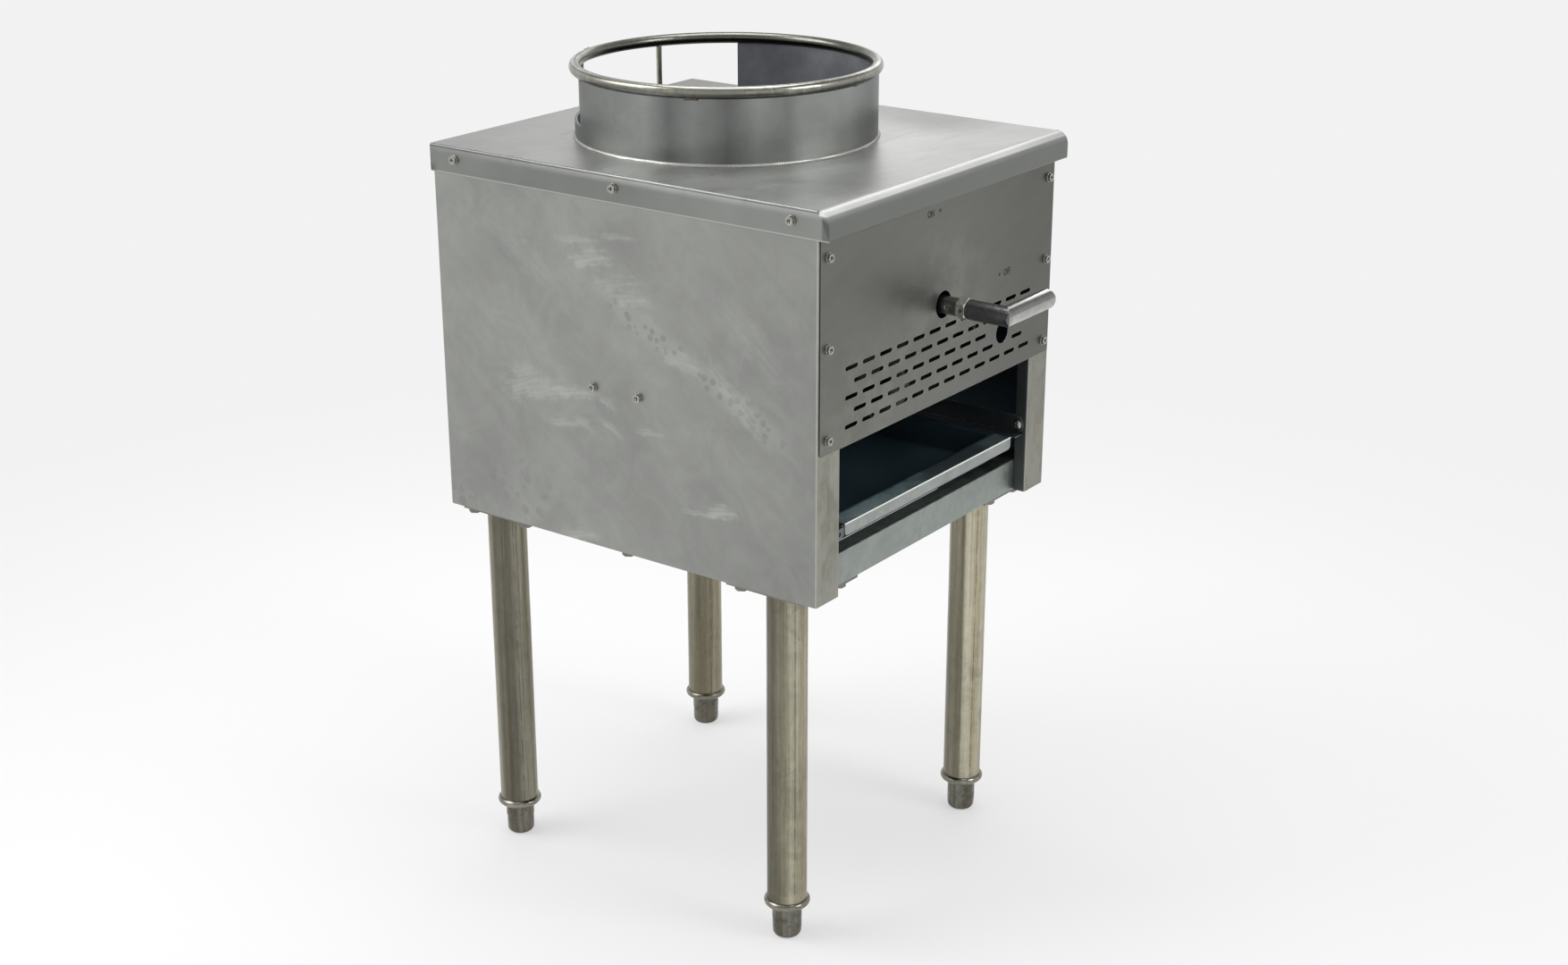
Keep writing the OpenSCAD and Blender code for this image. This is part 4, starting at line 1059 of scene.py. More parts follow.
@dataclass(frozen=True)
class DrawnTube(Finish):
    """Drawn and polished tube with long bands round it and painted light and shade across the view, as on a
    leg.
    """

    centre: Point = ORIGIN
    warm: Colour = (0.19, 0.172, 0.12)
    dark: Colour = (0.07, 0.062, 0.045)
    seed: float = 0.0
    # painted light and shade across the view, from its left side to its right
    sides: Stops = ((0.0, 1.0), (1.0, 1.0))
    seam: Optional[float] = None
    blots: float = 0.3
    stains: float = 9.0

    def paint(self, graph: Coat) -> None:
        """Adds bands, die lines, painted light and shade across the view, stains and rubbed edges.

        Args:
            graph: The material's graph.
        """
        place = graph.place
        bands = TubeBands().place(graph, Position=place, Axis_at=self.centre, Seed=self.seed)
        stain = CloudyStain().place(graph, Position=place, Scale=self.stains)
        worn = WornEdge().place(graph, Radius=0.6 * MM)
        colour = graph.mix(graph.ease(bands["Broad"], 0.4, 0.6), self.colour, self.warm)
        lines = graph.ease(bands["Narrow"], 0.56, 0.7)
        colour = graph.mix(lines * 0.38, colour, self.dark)
        pale = graph.ease(bands["Narrow"], 0.42, 0.3)
        colour = graph.mix(pale * 0.22, colour, (0.58, 0.57, 0.50))
        # painted light and shade across the view
        colour = graph.shade(colour, graph.ramp(bands["Side"] * 0.5 + 0.5, self.sides))
        fine = graph.noise(graph.stretch(place, (1.0, 1.0, 0.12)), 420.0, 3.0, 0.7)
        colour = graph.shade(colour, fine * 0.6 + 0.65)
        if self.seam is not None:
            off = abs(bands["Side"] - self.seam)
            wave = graph.ease(off, 0.045, 0.015) * graph.ease(stain["Wisp"], 0.0, 0.5, 0.2, 0.55)
            colour = graph.mix(wave, colour, self.dark)
        blot = stain["Wisp"] * stain["Cloud"]
        colour = graph.mix(blot * self.blots, colour, self.dark)
        _, _, z = graph.split(place)
        top = graph.ease(z, BASE_Z - 50 * MM, BASE_Z - 12 * MM)
        top = top * graph.ease(graph.noise(place, 60.0, 4.0, 0.6), 0.35, 0.65)
        colour = graph.mix(top * 0.45, colour, (0.11, 0.09, 0.06))
        colour = graph.mix(worn["Rub"] * 0.4, colour, (0.7, 0.69, 0.64))
        rough = stain["Cloud"] * 0.12 + self.rough
        graph.settle(colour, rough, bands["Narrow"], 0.1 * MM, worn["Rounded"], 0.6)


@dataclass(frozen=True)
class PolishedBar(Finish):
    """Bright bar or tube with faint buffing marks, grimy patches and painted shade in corners."""

    grime_and_shade: Colour = (0.13, 0.12, 0.09)
    marks: float = 0.35
    dent: float = 0.3 * MM

    def tone(self, graph: Coat, colour: Wire) -> Wire:
        """Lets a finish change the colour once more.

        Args:
            graph: The material's graph.
            colour: The colour so far.

        Returns:
            The new colour.
        """
        return colour

    def paint(self, graph: Coat) -> None:
        """Adds buffing marks, grimy patches, painted shade in corners and soft dents.

        Args:
            graph: The material's graph.
        """
        place = graph.place
        stain = CloudyStain().place(graph, Position=place, Scale=16.0)
        fine = graph.noise(place, 260.0, 4.0, 0.7)
        dirt_and_shade = CreviceDirtAndShade().place(graph, Reach=6 * MM)["DirtAndShade"]
        worn = WornEdge().place(graph, Radius=0.8 * MM)
        light = (fine - 0.5) * 0.35 + 1.0
        light = (stain["Wisp"] - 0.5) * self.marks + light
        colour = graph.shade(self.colour, light)
        grimy = stain["Cloud"] * stain["Wisp"] * self.marks
        # grimy patches, and painted shade in corners from the crevice mask
        colour = graph.mix(graph.math("MAXIMUM", grimy, dirt_and_shade * 0.8), colour, self.grime_and_shade)
        colour = self.tone(graph, colour)
        rough = stain["Cloud"] * 0.14 + (fine * 0.08 + self.rough)
        graph.settle(colour, rough, graph.noise(place, 45.0, 3.0, 0.6), self.dent, worn["Rounded"], 0.5)


@dataclass(frozen=True)
class RimBar(PolishedBar):
    """The ring's top bar, with painted highlight and shade in lines that run round with it."""

    # painted highlight and shade by the angle round the bar's section
    lines: Stops = (
        (0.25, 0.35), (0.42, 0.5), (0.52, 0.95), (0.6, 1.3), (0.65, 0.55), (0.69, 2.0), (0.73, 1.8),
        (0.77, 0.55), (0.86, 0.75), (1.0, 0.4))

    def tone(self, graph: Coat, colour: Wire) -> Wire:
        """Painted highlight and shade lines by the angle round the bar's own section.

        Args:
            graph: The material's graph.
            colour: The colour so far.

        Returns:
            The new colour.
        """
        x, y, z = graph.split(graph.vector("SUBTRACT", graph.place, (0.0, RING_Y, RIM_Z)))
        turn = graph.turn(z, graph.radius(x, y) - RIM_R)
        return graph.shade(colour, graph.ramp(turn, self.lines))


@dataclass(frozen=True)
class GripBar(PolishedBar):
    """The handle's grip: a painted highlight along its top, painted shade below it and painted light
    underneath.
    """

    heart: tuple[float, float] = (GRIP_Y, HANDLE_Z)
    # painted highlight and shade by the angle round the grip's section
    lines: Stops = (
        (0.09, 0.55), (0.12, 0.35), (0.45, 0.6), (0.74, 0.3), (0.765, 1.3), (0.81, 1.3), (0.84, 0.24),
        (0.94, 0.28), (0.965, 0.53), (1.0, 0.55))

    def tone(self, graph: Coat, colour: Wire) -> Wire:
        """Painted highlight and shade lines by the angle round the grip's own section.

        Args:
            graph: The material's graph.
            colour: The colour so far.

        Returns:
            The new colour.
        """
        _, y, z = graph.split(graph.place)
        turn = graph.turn(z - self.heart[1], y - self.heart[0])
        return graph.shade(colour, graph.ramp(turn, self.lines))


@dataclass(frozen=True)
class Casting(Finish):
    """Cast iron or a malleable fitting, sandy and dull, with rust or sooty patches, and painted shade in
    hollows.
    """

    patch: Colour = (0.09, 0.045, 0.025)
    grain: float = 320.0
    depth: float = 0.3 * MM
    share: float = 0.35
    heat: Optional[Point] = None

    def paint(self, graph: Coat) -> None:
        """Adds the sandy skin, patches, painted shade with some grit in hollows, and rubbed edges.

        Args:
            graph: The material's graph.
        """
        place = graph.place
        skin = CastSkin().place(graph, Position=place, Scale=self.grain)
        dirt_and_shade = CreviceDirtAndShade().place(graph, Reach=12 * MM)["DirtAndShade"]
        worn = WornEdge().place(graph, Radius=1 * MM)
        colour = graph.shade(self.colour, skin["Height"] * 0.5 + 0.65)
        colour = graph.mix(skin["Patch"] * self.share, colour, self.patch)
        if self.heat:
            tint = HeatTint().place(graph, Position=place, Source=self.heat, Near=30 * MM, Far=160 * MM)
            colour = graph.mix(tint["Mask"] * 0.35, colour, tint["Tint"])
        colour = graph.mix(worn["Rub"] * 0.45, colour, (0.26, 0.25, 0.24))
        # near black in hollows: painted shade, with some grit
        colour = graph.mix(dirt_and_shade * 0.7, colour, (0.01, 0.009, 0.008))
        rough = skin["Patch"] * 0.2 + self.rough
        graph.settle(colour, rough, skin["Height"], self.depth, worn["Rounded"], 0.8)


@dataclass(frozen=True)
class ZincSheet(Finish):
    """Galvanised sheet: crystals, white bloom, finger marks, a painted highlight on its folded edge, painted
    shade inside.
    """

    painted_shade: Optional[PaintedShade] = None
    fold: float = 0.0

    def paint(self, graph: Coat) -> None:
        """Adds crystals, bloom, streaks, edges, and painted highlight, light and shade.

        Args:
            graph: The material's graph.
        """
        place = graph.place
        zinc = ZincSpangle().place(graph, Position=place, Scale=110.0)
        stain = CloudyStain().place(graph, Position=place, Scale=10.0)
        worn = WornEdge().place(graph, Radius=0.8 * MM)
        light = (zinc["Crystal"] - 0.5) * 0.16 + 1.0
        light = (stain["Cloud"] - 0.5) * 0.2 + light
        colour = graph.shade(self.colour, light)
        colour = graph.mix(zinc["Bloom"] * 0.25, colour, (0.5, 0.53, 0.51))
        hands = stain["Wisp"] * graph.ease(stain["Cloud"], 0.4, 0.9)
        colour = graph.mix(hands * 0.3, colour, (0.14, 0.155, 0.15))
        colour = graph.mix(worn["Rub"] * 0.6, colour, (0.72, 0.76, 0.73))
        rough = zinc["Crystal"] * 0.12 + self.rough
        # painted highlight along the lip's folded edge
        if self.fold:
            x, y, z = graph.split(place)
            line = graph.ease(z, self.fold - 1.9 * MM, self.fold - 1.2 * MM)
            line = line * graph.ease(y, TRAY_Y + 1.6 * MM, TRAY_Y + 1.2 * MM)
            colour = graph.mix(line, colour, (0.88, 0.92, 0.89))
        # painted shade inside the tray, dull and less metallic there
        if self.painted_shade:
            dark = self.painted_shade.mask(graph)
            colour = graph.mix(dark, colour, self.painted_shade.colour)
            rough = graph.blend(dark, rough, 0.5)
            graph.plug(graph.shader.inputs["Metallic"], graph.blend(graph.ease(dark, 0.0, 0.45), 1.0, 0.3))
        # the shelf behind the lip: blue tint and blotches, with painted light on the left fading to painted
        # shade on the right
        if self.fold:
            shelf = graph.ease(z, self.fold - 0.8 * MM, self.fold - 0.4 * MM)
            shelf = shelf * graph.ease(y, TRAY_Y + 1.4 * MM, TRAY_Y + 1.8 * MM)
            blue = graph.stretch(colour, (0.82, 1.0, 1.08))
            blue = graph.shade(blue, graph.ease(x, -0.16, 0.08, 1.5, 0.45))
            blue = graph.shade(blue, graph.ease(stain["Cloud"], 0.3, 0.7, 0.7, 1.3))
            colour = graph.mix(shelf, colour, blue)
        graph.settle(colour, rough, zinc["Crystal"], 0.03 * MM, worn["Rounded"], 0.5)


@dataclass(frozen=True)
class Fastener(Finish):
    """Bright plated screw or bolt: bright facets, a recess in painted shade and a worn head."""

    reach: float = 2.2 * MM

    def paint(self, graph: Coat) -> None:
        """Adds speckle, painted shade in the recess and bright edges.

        Args:
            graph: The material's graph.
        """
        dirt_and_shade = CreviceDirtAndShade().place(graph, Reach=self.reach)["DirtAndShade"]
        worn = WornEdge().place(graph, Radius=0.4 * MM)
        speck = graph.noise(graph.place, 700.0, 3.0, 0.7)
        colour = graph.shade(self.colour, speck * 1.3 + 0.35)
        colour = graph.mix(worn["Rub"] * 0.8, colour, (0.88, 0.87, 0.82))
        # the recess near black: painted shade
        colour = graph.mix(dirt_and_shade, colour, (0.012, 0.011, 0.01))
        graph.settle(colour, speck * 0.2 + self.rough, speck, 0.04 * MM, worn["Rounded"], 0.6)


@dataclass(frozen=True)
class Painted(Finish):
    """Ink or black paint, slightly uneven."""

    def paint(self, graph: Coat) -> None:
        """Adds thin places and dust.

        Args:
            graph: The material's graph.
        """
        thin = graph.noise(graph.place, 700.0, 3.0, 0.6)
        graph.settle(graph.shade(self.colour, thin * 1.4 + 0.4), thin * 0.2 + self.rough, thin, 0.03 * MM)


@dataclass(frozen=True)
class BlackPipe(Finish):
    """Varnished black steel pipe with mill scale, scuffs and a cut thread."""

    axis: Grain = Grain.ALONG_Y
    thread_from: Optional[float] = None
    centre: Point = ORIGIN

    def paint(self, graph: Coat) -> None:
        """Adds mill scale, scuffs along the pipe and the thread's bright cut.

        Args:
            graph: The material's graph.
        """
        place = graph.place
        scale = CloudyStain().place(graph, Position=place, Scale=28.0)
        scuff = BrushedGrain().place(graph, Position=place, Stretch=self.axis.value)
        dirt_and_shade = CreviceDirtAndShade().place(graph, Reach=10 * MM)["DirtAndShade"]
        worn = WornEdge().place(graph, Radius=0.7 * MM)
        colour = graph.shade(self.colour, scale["Cloud"] * 0.8 + 0.6)
        lighten = graph.ease(scuff["Streak"], 0.56, 0.66) * (scale["Wisp"] * 0.5)
        colour = graph.mix(lighten, colour, (0.16, 0.15, 0.14))
        # dark brown in corners: grit and painted shade
        colour = graph.mix(dirt_and_shade * 0.5, colour, (0.05, 0.028, 0.016))
        height = scuff["Height"]
        if self.thread_from is not None:
            x, y, z = graph.split(graph.vector("SUBTRACT", place, self.centre))
            cut = graph.ease(y, self.thread_from - 0.6 * MM, self.thread_from)
            angle = graph.math("ARCTAN2", z, x)
            ridge = ScrewThread().place(graph, Along=y, Angle=angle, Pitch=THREAD_PITCH)["Ridge"]
            colour = graph.mix(cut, colour, graph.shade((0.42, 0.41, 0.39), ridge * 1.4 + 0.3))
            height = graph.blend(cut, height, ridge * 14.0)
        graph.settle(colour, scale["Wisp"] * 0.2 + self.rough, height, 0.05 * MM, worn["Rounded"], 0.8)


@dataclass(frozen=True)
class WeldMetal(Finish):
    """A weld's metal: rippled, bright on its crowns and browned between."""

    centre: Point = ORIGIN
    count: float = 420.0

    def paint(self, graph: Coat) -> None:
        """Adds ripples and burns.

        Args:
            graph: The material's graph.
        """
        weld = WeldRipple().place(graph, Position=graph.place, Axis_at=self.centre, Count=self.count)
        colour = graph.shade(self.colour, weld["Height"] * 0.5 + 0.7)
        burn = graph.ease(weld["Burn"], 0.5, 0.75)
        colour = graph.mix(burn * 0.45, colour, (0.2, 0.16, 0.11))
        graph.settle(colour, burn * 0.2 + self.rough, weld["Height"], 0.2 * MM, None, 0.6)


class Mesher:
    """Makes named mesh pieces from points and faces."""

    @staticmethod
    def show(mesh: bpy.types.Mesh, smooth: bool = True) -> bpy.types.Object:
        """Puts a mesh in the scene as an object of the same name.

        Args:
            mesh: The mesh.
            smooth: Whether it shades smooth.

        Returns:
            The object.
        """
        for polygon in mesh.polygons:
            polygon.use_smooth = smooth
        thing = bpy.data.objects.new(mesh.name, mesh)
        bpy.context.scene.collection.objects.link(thing)
        return thing

    @staticmethod
    def piece(name: str, points: Iterable[Point], faces: Iterable[Sequence[int]],
              smooth: bool = True) -> bpy.types.Object:
        """A mesh object in the scene.

        Args:
            name: The piece's name.
            points: Its corners in the frame.
            faces: The corners of each face, by number.
            smooth: Whether it shades smooth.

        Returns:
            The object.
        """
        mesh = bpy.data.meshes.new(name)
        mesh.from_pydata([tuple(p) for p in points], [], [tuple(f) for f in faces])
        mesh.update()
        return Mesher.show(mesh, smooth)

    @staticmethod
    def finish(thing: bpy.types.Object, finish: Finish, body: str, slot: str) -> bpy.types.Object:
        """Gives a piece its finish and its body.

        Args:
            thing: The piece.
            finish: Its finish.
            body: The body that it moves with.
            slot: Not used.

        Returns:
            The piece.
        """
        thing.data.materials.clear()
        thing.data.materials.append(finish.make())
        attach(thing, body)
        log.info("piece %s: %d faces on %s", thing.name, len(thing.data.polygons), body)
        return thing


def circle(radius: float, count: int) -> list[tuple[float, float]]:
    """The points of a circle about the origin."""
    turns = [math.tau * i / count for i in range(count)]
    return [(radius * math.cos(turn), radius * math.sin(turn)) for turn in turns]


def smooth_nodes(nodes: dict[str, bpy.types.Object], angle: float = 32.0) -> None:
    """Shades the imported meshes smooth, but for edges sharper than an angle in degrees."""
    for node in nodes.values():
        mesh = node.data
        mesh.shade_smooth()
        mesh.set_sharp_from_angle(angle=math.radians(angle))


def dress(nodes: dict[str, bpy.types.Object], names: Iterable[str], finish: Finish) -> None:
    """Puts a finish on nodes of the frame.

    Args:
        nodes: The frame's nodes.
        names: Those that take the finish.
        finish: The finish.
    """
    material = finish.make()
    for name in names:
        thing = nodes[name]
        for slot in thing.material_slots:
            slot.material = material
        log.info("node %s: %s", name, finish.name)


@dataclass
class Letters:
    """The words and dots printed on the front panel."""

    high: float = 7.8 * MM
    wide: float = 0.78
    thick: float = 0.12 * MM
    sunk: float = 0.1 * MM
    dot_r: float = 1.9 * MM
    words: tuple[tuple[str, float, float], ...] = (
        ("ON", -29 * MM, 803.5 * MM), ("OFF", 129 * MM, 707.5 * MM))
    dots: tuple[tuple[float, float], ...] = ((-11.2 * MM, 803.8 * MM), (113 * MM, 707.4 * MM))
    ink: Painted = Painted("letter_ink", (0.018, 0.018, 0.016), 0.5, 0.0)

    def word(self, text: str, x: float, z: float) -> bpy.types.Object:
        """Prints one word as a thin mesh.

        Args:
            text: The word.
            x: The place of its middle across the panel.
            z: The height of its middle.

        Returns:
            The piece.
        """
        curve = bpy.data.curves.new("word_" + text.lower(), "FONT")
        curve.body = text
        curve.size = 1.0
        curve.extrude = 0.001
        curve.offset = 0.035
        thing = bpy.data.objects.new(curve.name, curve)
        bpy.context.scene.collection.objects.link(thing)
        bpy.context.view_layer.update()
        mesh = bpy.data.meshes.new_from_object(thing.evaluated_get(bpy.context.evaluated_depsgraph_get()))
        bpy.data.objects.remove(thing)
        xs = [v.co.x for v in mesh.vertices]
        ys = [v.co.y for v in mesh.vertices]
        size = self.high / (max(ys) - min(ys))
        for v in mesh.vertices:
            px = (v.co.x - (min(xs) + max(xs)) / 2) * size * self.wide
            pz = (v.co.y - (min(ys) + max(ys)) / 2) * size
            v.co = Vector((x + px, PANEL_Y - (self.thick if v.co.z > 0 else -self.sunk), z + pz))
        mesh.name = "word_" + text.lower()
        piece = bpy.data.objects.new(mesh.name, mesh)
        bpy.context.scene.collection.objects.link(piece)
        return Mesher.finish(piece, self.ink, "cabinet", "panel_steel")

    def dot(self, index: int, x: float, z: float) -> bpy.types.Object:
        """Prints one dot.

        Args:
            index: Its number.
            x: The place of its middle across the panel.
            z: The height of its middle.

        Returns:
            The piece.
        """
        count = 24
        ring = [(x + px, z + pz) for px, pz in circle(self.dot_r, count)]
        points = [(px, y, pz) for y in (PANEL_Y - self.thick, PANEL_Y + self.sunk) for px, pz in ring]
        faces = [tuple(range(count)), tuple(range(2 * count - 1, count - 1, -1))]
        faces += [(i, i + count, (i + 1) % count + count, (i + 1) % count) for i in range(count)]
        piece = Mesher.piece(f"letter_dot_{index}", points, faces, smooth=False)
        return Mesher.finish(piece, self.ink, "cabinet", "panel_steel")

    def build(self) -> None:
        """Prints the words and the dots."""
        for text, x, z in self.words:
            self.word(text, x, z)
        for index, (x, z) in enumerate(self.dots):
            self.dot(index, x, z)


@dataclass
class RingWelds:
    """The weld at the foot of the ring's wall, and the lumps that the rim's own weld left."""

    radius: float = 166.7 * MM
    leg: float = 2.1 * MM
    scales: int = 420
    steps: int = 1260
    metal: WeldMetal = WeldMetal("weld_metal", (0.44, 0.44, 0.42), 0.34, 1.0, RING_MIDDLE)
    burnt: WeldMetal = WeldMetal("burnt_weld", (0.13, 0.115, 0.095), 0.45, 1.0, RING_MIDDLE)
    # each lump's place round the ring in degrees, its distance from the middle, its height and half sizes
    lumps: tuple[tuple[float, float, float, Point], ...] = (
        (204.0, 0.1675, UNDER_BAR + 0.3 * MM, (0.0060, 0.0018, 0.0020)),
        (206.6, 0.1672, UNDER_BAR - 0.3 * MM, (0.0030, 0.0014, 0.0014)),
        (272.2, 0.1674, UNDER_BAR + 0.4 * MM, (0.0032, 0.0014, 0.0013)),
        (311.0, 0.1674, UNDER_BAR + 0.6 * MM, (0.0030, 0.0013, 0.0010)),
        (103.0, 0.1697, RING_TOP - 2.8 * MM, (0.0075, 0.0024, 0.0022)),
        (149.0, 0.1670, UNDER_BAR + 0.8 * MM, (0.0050, 0.0016, 0.0018)),
        (31.0, 0.1670, UNDER_BAR + 0.8 * MM, (0.0050, 0.0016, 0.0018)))

    def seam(self) -> bpy.types.Object:
        """Lays the rippled fillet round the wall's foot.

        Returns:
            The piece.
        """
        points: list[Point] = []
        arcs = 7
        for i in range(self.steps):
            angle = math.tau * i / self.steps
            turn = (i * self.scales / self.steps) % 1.0
            wander = 0.12 * math.sin(17 * angle) + 0.08 * math.sin(41 * angle + 1.3)
            swell = 1.0 + 0.10 * math.sin(math.pi * turn) + 0.5 * wander
            for k in range(arcs):
                t = math.pi / 2 * k / (arcs - 1)
                out = self.leg * swell * (1 - 0.62 * math.sin(t)) if k < arcs - 1 else 0.0
                up = self.leg * swell * math.sin(t) * (0.55 + 0.45 * math.sin(t))
                r = self.radius + out - (0.4 * MM if k == arcs - 1 else 0.0)
                points.append((r * math.cos(angle), RING_Y + r * math.sin(angle), DECK_Z + 0.02 * MM + up))
        starts = [(i * arcs, (i + 1) % self.steps * arcs) for i in range(self.steps)]
        faces = [(a + k, b + k, b + k + 1, a + k + 1) for a, b in starts for k in range(arcs - 1)]
        piece = Mesher.piece("ring_weld_seam", points, faces)
        return Mesher.finish(piece, self.metal, "cabinet", "collar_steel")

    def lump(self, name: str, at: Point, size: Point, seed: int) -> bpy.types.Object:
        """A drop of weld metal.

        Args:
            name: The piece's name.
            at: Its middle.
            size: Its half sizes along the ring, outwards and up.
            seed: What makes it unlike the others.

        Returns:
            The piece.
        """
        shape = bmesh.new()
        bmesh.ops.create_icosphere(shape, subdivisions=3, radius=1.0)
        angle = math.atan2(at[1] - RING_Y, at[0])
        turn = Matrix.Rotation(angle, 3, "Z")
        for v in shape.verts:
            n = v.co.normalized()
            bulge = 1 + 0.16 * math.sin(5 * n.x + seed) * math.cos(4 * n.y + 2 * seed)
            bulge += 0.1 * math.sin(7 * n.z + seed)
            local = Vector((n.x * size[1], n.y * size[0], n.z * size[2])) * bulge
            v.co = Vector(at) + turn @ local
        mesh = bpy.data.meshes.new(name)
        shape.to_mesh(mesh)
        shape.free()
        return Mesher.finish(Mesher.show(mesh), self.burnt, "cabinet", "rim_steel")

    def build(self) -> None:
        """Lays the seam and the lumps."""
        self.seam()
        for index, (degrees, r, z, size) in enumerate(self.lumps):
            a = math.radians(degrees)
            self.lump(f"weld_lump_{index}", (r * math.cos(a), RING_Y + r * math.sin(a), z), size, index + 1)


@dataclass
class Cabinet:
    """The sheet metal: deck, ring, panels, channels, rails, tray and their screws."""

    nodes: dict[str, bpy.types.Object]
    side: SidePanel = SidePanel(
        "panel_steel", (0.328, 0.335, 0.318), 0.42, grain=Grain.ALONG_Z, lines=0.04, cloud=0.20, hairs=0.045,
        turn=(math.radians(-38), 0.0, math.radians(90)), scale=5.0, painted_shade=CABINET_INSIDE, smears=(
            Smear(0.062, 0.753, 0.18, 0.036, 0.015, 0.55), Smear(0.080, 0.771, 0.1, 0.036, 0.006, 0.35),
            Smear(0.025, 0.782, 0.05, 0.034, 0.005, 0.3), Smear(0.024, 0.732, 0.15, 0.040, 0.014, 0.3),
            Smear(0.007, 0.718, 0.1, 0.032, 0.011, 0.45), Smear(0.160, 0.599, 0.3, 0.036, 0.026, 0.45),
            Smear(0.128, 0.597, 0.3, 0.034, 0.016, 0.4), Smear(0.090, 0.601, 0.12, 0.044, 0.009, 0.5),
            Smear(0.042, 0.598, -0.5, 0.016, 0.008, 0.35), Smear(0.106, 0.563, 0.1, 0.030, 0.006, 0.35),
            Smear(0.076, 0.568, -0.5, 0.018, 0.008, 0.4), Smear(0.038, 0.571, -0.5, 0.020, 0.006, 0.4),
            Smear(-0.014, 0.576, 0.05, 0.026, 0.006, 0.35), Smear(-0.058, 0.663, -0.2, 0.034, 0.012, 0.4),
            Smear(-0.128, 0.636, -0.8, 0.060, 0.016, 0.3), Smear(-0.109, 0.508, 0.1, 0.024, 0.011, 0.6),
            Smear(-0.080, 0.500, 0.05, 0.030, 0.004, 0.35), Smear(0.086, 0.437, 0.2, 0.034, 0.009, 0.45),
            Smear(0.150, 0.74, -0.6, 0.05, 0.02, 0.16), Smear(-0.15, 0.70, -0.75, 0.07, 0.02, 0.16)))
    deck: DeckSheet = DeckSheet(
        "deck_steel", (0.340, 0.345, 0.333), 0.36, lines=0.05, cloud=0.14, hairs=0.06,
        turn=(0.0, 0.0, math.radians(20)), scale=7.0, painted_shade=CABINET_INSIDE, edge=0.2 * MM, lighten=0.08)
    # the front panel's colour is darker than the sides' as painted shade, and its slot walls and inside are
    # in painted shade
    front: FrontPanel = FrontPanel(
        "front_panel_steel", (0.165, 0.168, 0.150), 0.38, lines=0.05, cloud=0.08, hairs=0.05,
        turn=(0.0, math.radians(20), 0.0), scale=5.0, edge=0.9 * MM, lighten=0.8, gap_shade=0.25,
        painted_shade=PaintedShade((-0.3, PANEL_Y + 0.4 * MM, 0.5), (0.3, 0.0, DECK_Z)))
    # painted shade on the back panel's inside
    back: SheetSteel = SheetSteel(
        "back_panel_steel", (0.30, 0.305, 0.295), 0.42, lines=0.06, cloud=0.14, hairs=0.08,
        turn=(0.0, math.radians(-25), 0.0), scale=5.0,
        painted_shade=PaintedShade((-0.3, 0.0, 0.3), (0.3, FRONT_Y + 512.4 * MM, DECK_Z)))
    wall: RingWall = RingWall(
        "collar_steel", (0.205, 0.212, 0.206), 0.34, grain=Grain.ALONG_Z, lines=0.02, cloud=0.16, hairs=0.03,
        scale=9.0, edge=0.5 * MM, round_brush=0.8)
    rim: RimBar = RimBar("rim_steel", (0.27, 0.27, 0.235), 0.14, 1.0, (0.06, 0.056, 0.045), 0.45,
                         0.12 * MM)
    rods: PolishedBar = PolishedBar("rod_steel", (0.40, 0.40, 0.33), 0.24, 1.0, (0.10, 0.095, 0.07), 0.4)
    channel: ZincSheet = ZincSheet("galvanised", (0.29, 0.32, 0.295), 0.36)
    # painted shade inside the tray
    tray: ZincSheet = ZincSheet(
        "tray_galvanised", (0.34, 0.365, 0.345), 0.34, fold=502 * MM,
        painted_shade=PaintedShade((-0.3, TRAY_Y + 1.4 * MM, 0.3), (0.3, 0.4, 503.4 * MM), (0.026, 0.048, 0.060), 0.4 * MM,
                  (0.026, 0.031, 0.52)))
    rails: SheetSteel = SheetSteel("rail_steel", (0.15, 0.17, 0.18), 0.45, grain=Grain.ALONG_Y, lines=0.05)
    screws: Fastener = Fastener("fastener", (0.40, 0.39, 0.36), 0.18, reach=3 * MM)
    bolts: Fastener = Fastener("bolt_steel", (0.21, 0.205, 0.175), 0.4, reach=4 * MM)
    # near black, the shield and support stand as painted shade behind the slots
    shield: SheetSteel = SheetSteel(
        "shield_steel", (0.022, 0.026, 0.031), 0.5, grain=Grain.ALONG_Z, lines=0.2, cloud=0.5)

    def build(self) -> None:
        """Dresses the sheet metal and its screws."""
        for names, finish in (
                (("left_side_panel", "right_side_panel"), self.side), (("top_deck",), self.deck),
                (("front_panel",), self.front), (("back_panel",), self.back), (("wok_collar",), self.wall),
                (("rim_ring",), self.rim), (("rim_rods",), self.rods),
                (("front_base_channel", "rear_base_channel"), self.channel), (("drip_tray",), self.tray),
                (("tray_rail_left", "tray_rail_right"), self.rails),
                (("panel_screws", "rail_screws"), self.screws),
                (("leg_plate_bolts", "burner_bolts"), self.bolts),
                (("heat_shield", "burner_support"), self.shield)):
            dress(self.nodes, names, finish)


# painted light and shade on each leg's tube across the photograph's view, from 0 at its left side to 1 at its
# right
PAINTED_LEG_SHADING: dict[str, Stops] = {
    "front_left": ((0.05, 0.58), (0.38, 1.0), (0.58, 1.65), (1.0, 1.8)),
    "front_right": ((0.1, 1.0), (0.35, 1.0), (0.42, 1.9), (0.66, 2.4), (1.0, 1.95)),
    "rear_left": ((0.07, 1.3), (0.16, 0.62), (0.56, 0.5), (0.7, 0.98), (1.0, 1.05)),
    "rear_right": ((0.1, 1.0), (0.5, 0.98), (0.65, 1.35), (1.0, 1.35)),
}


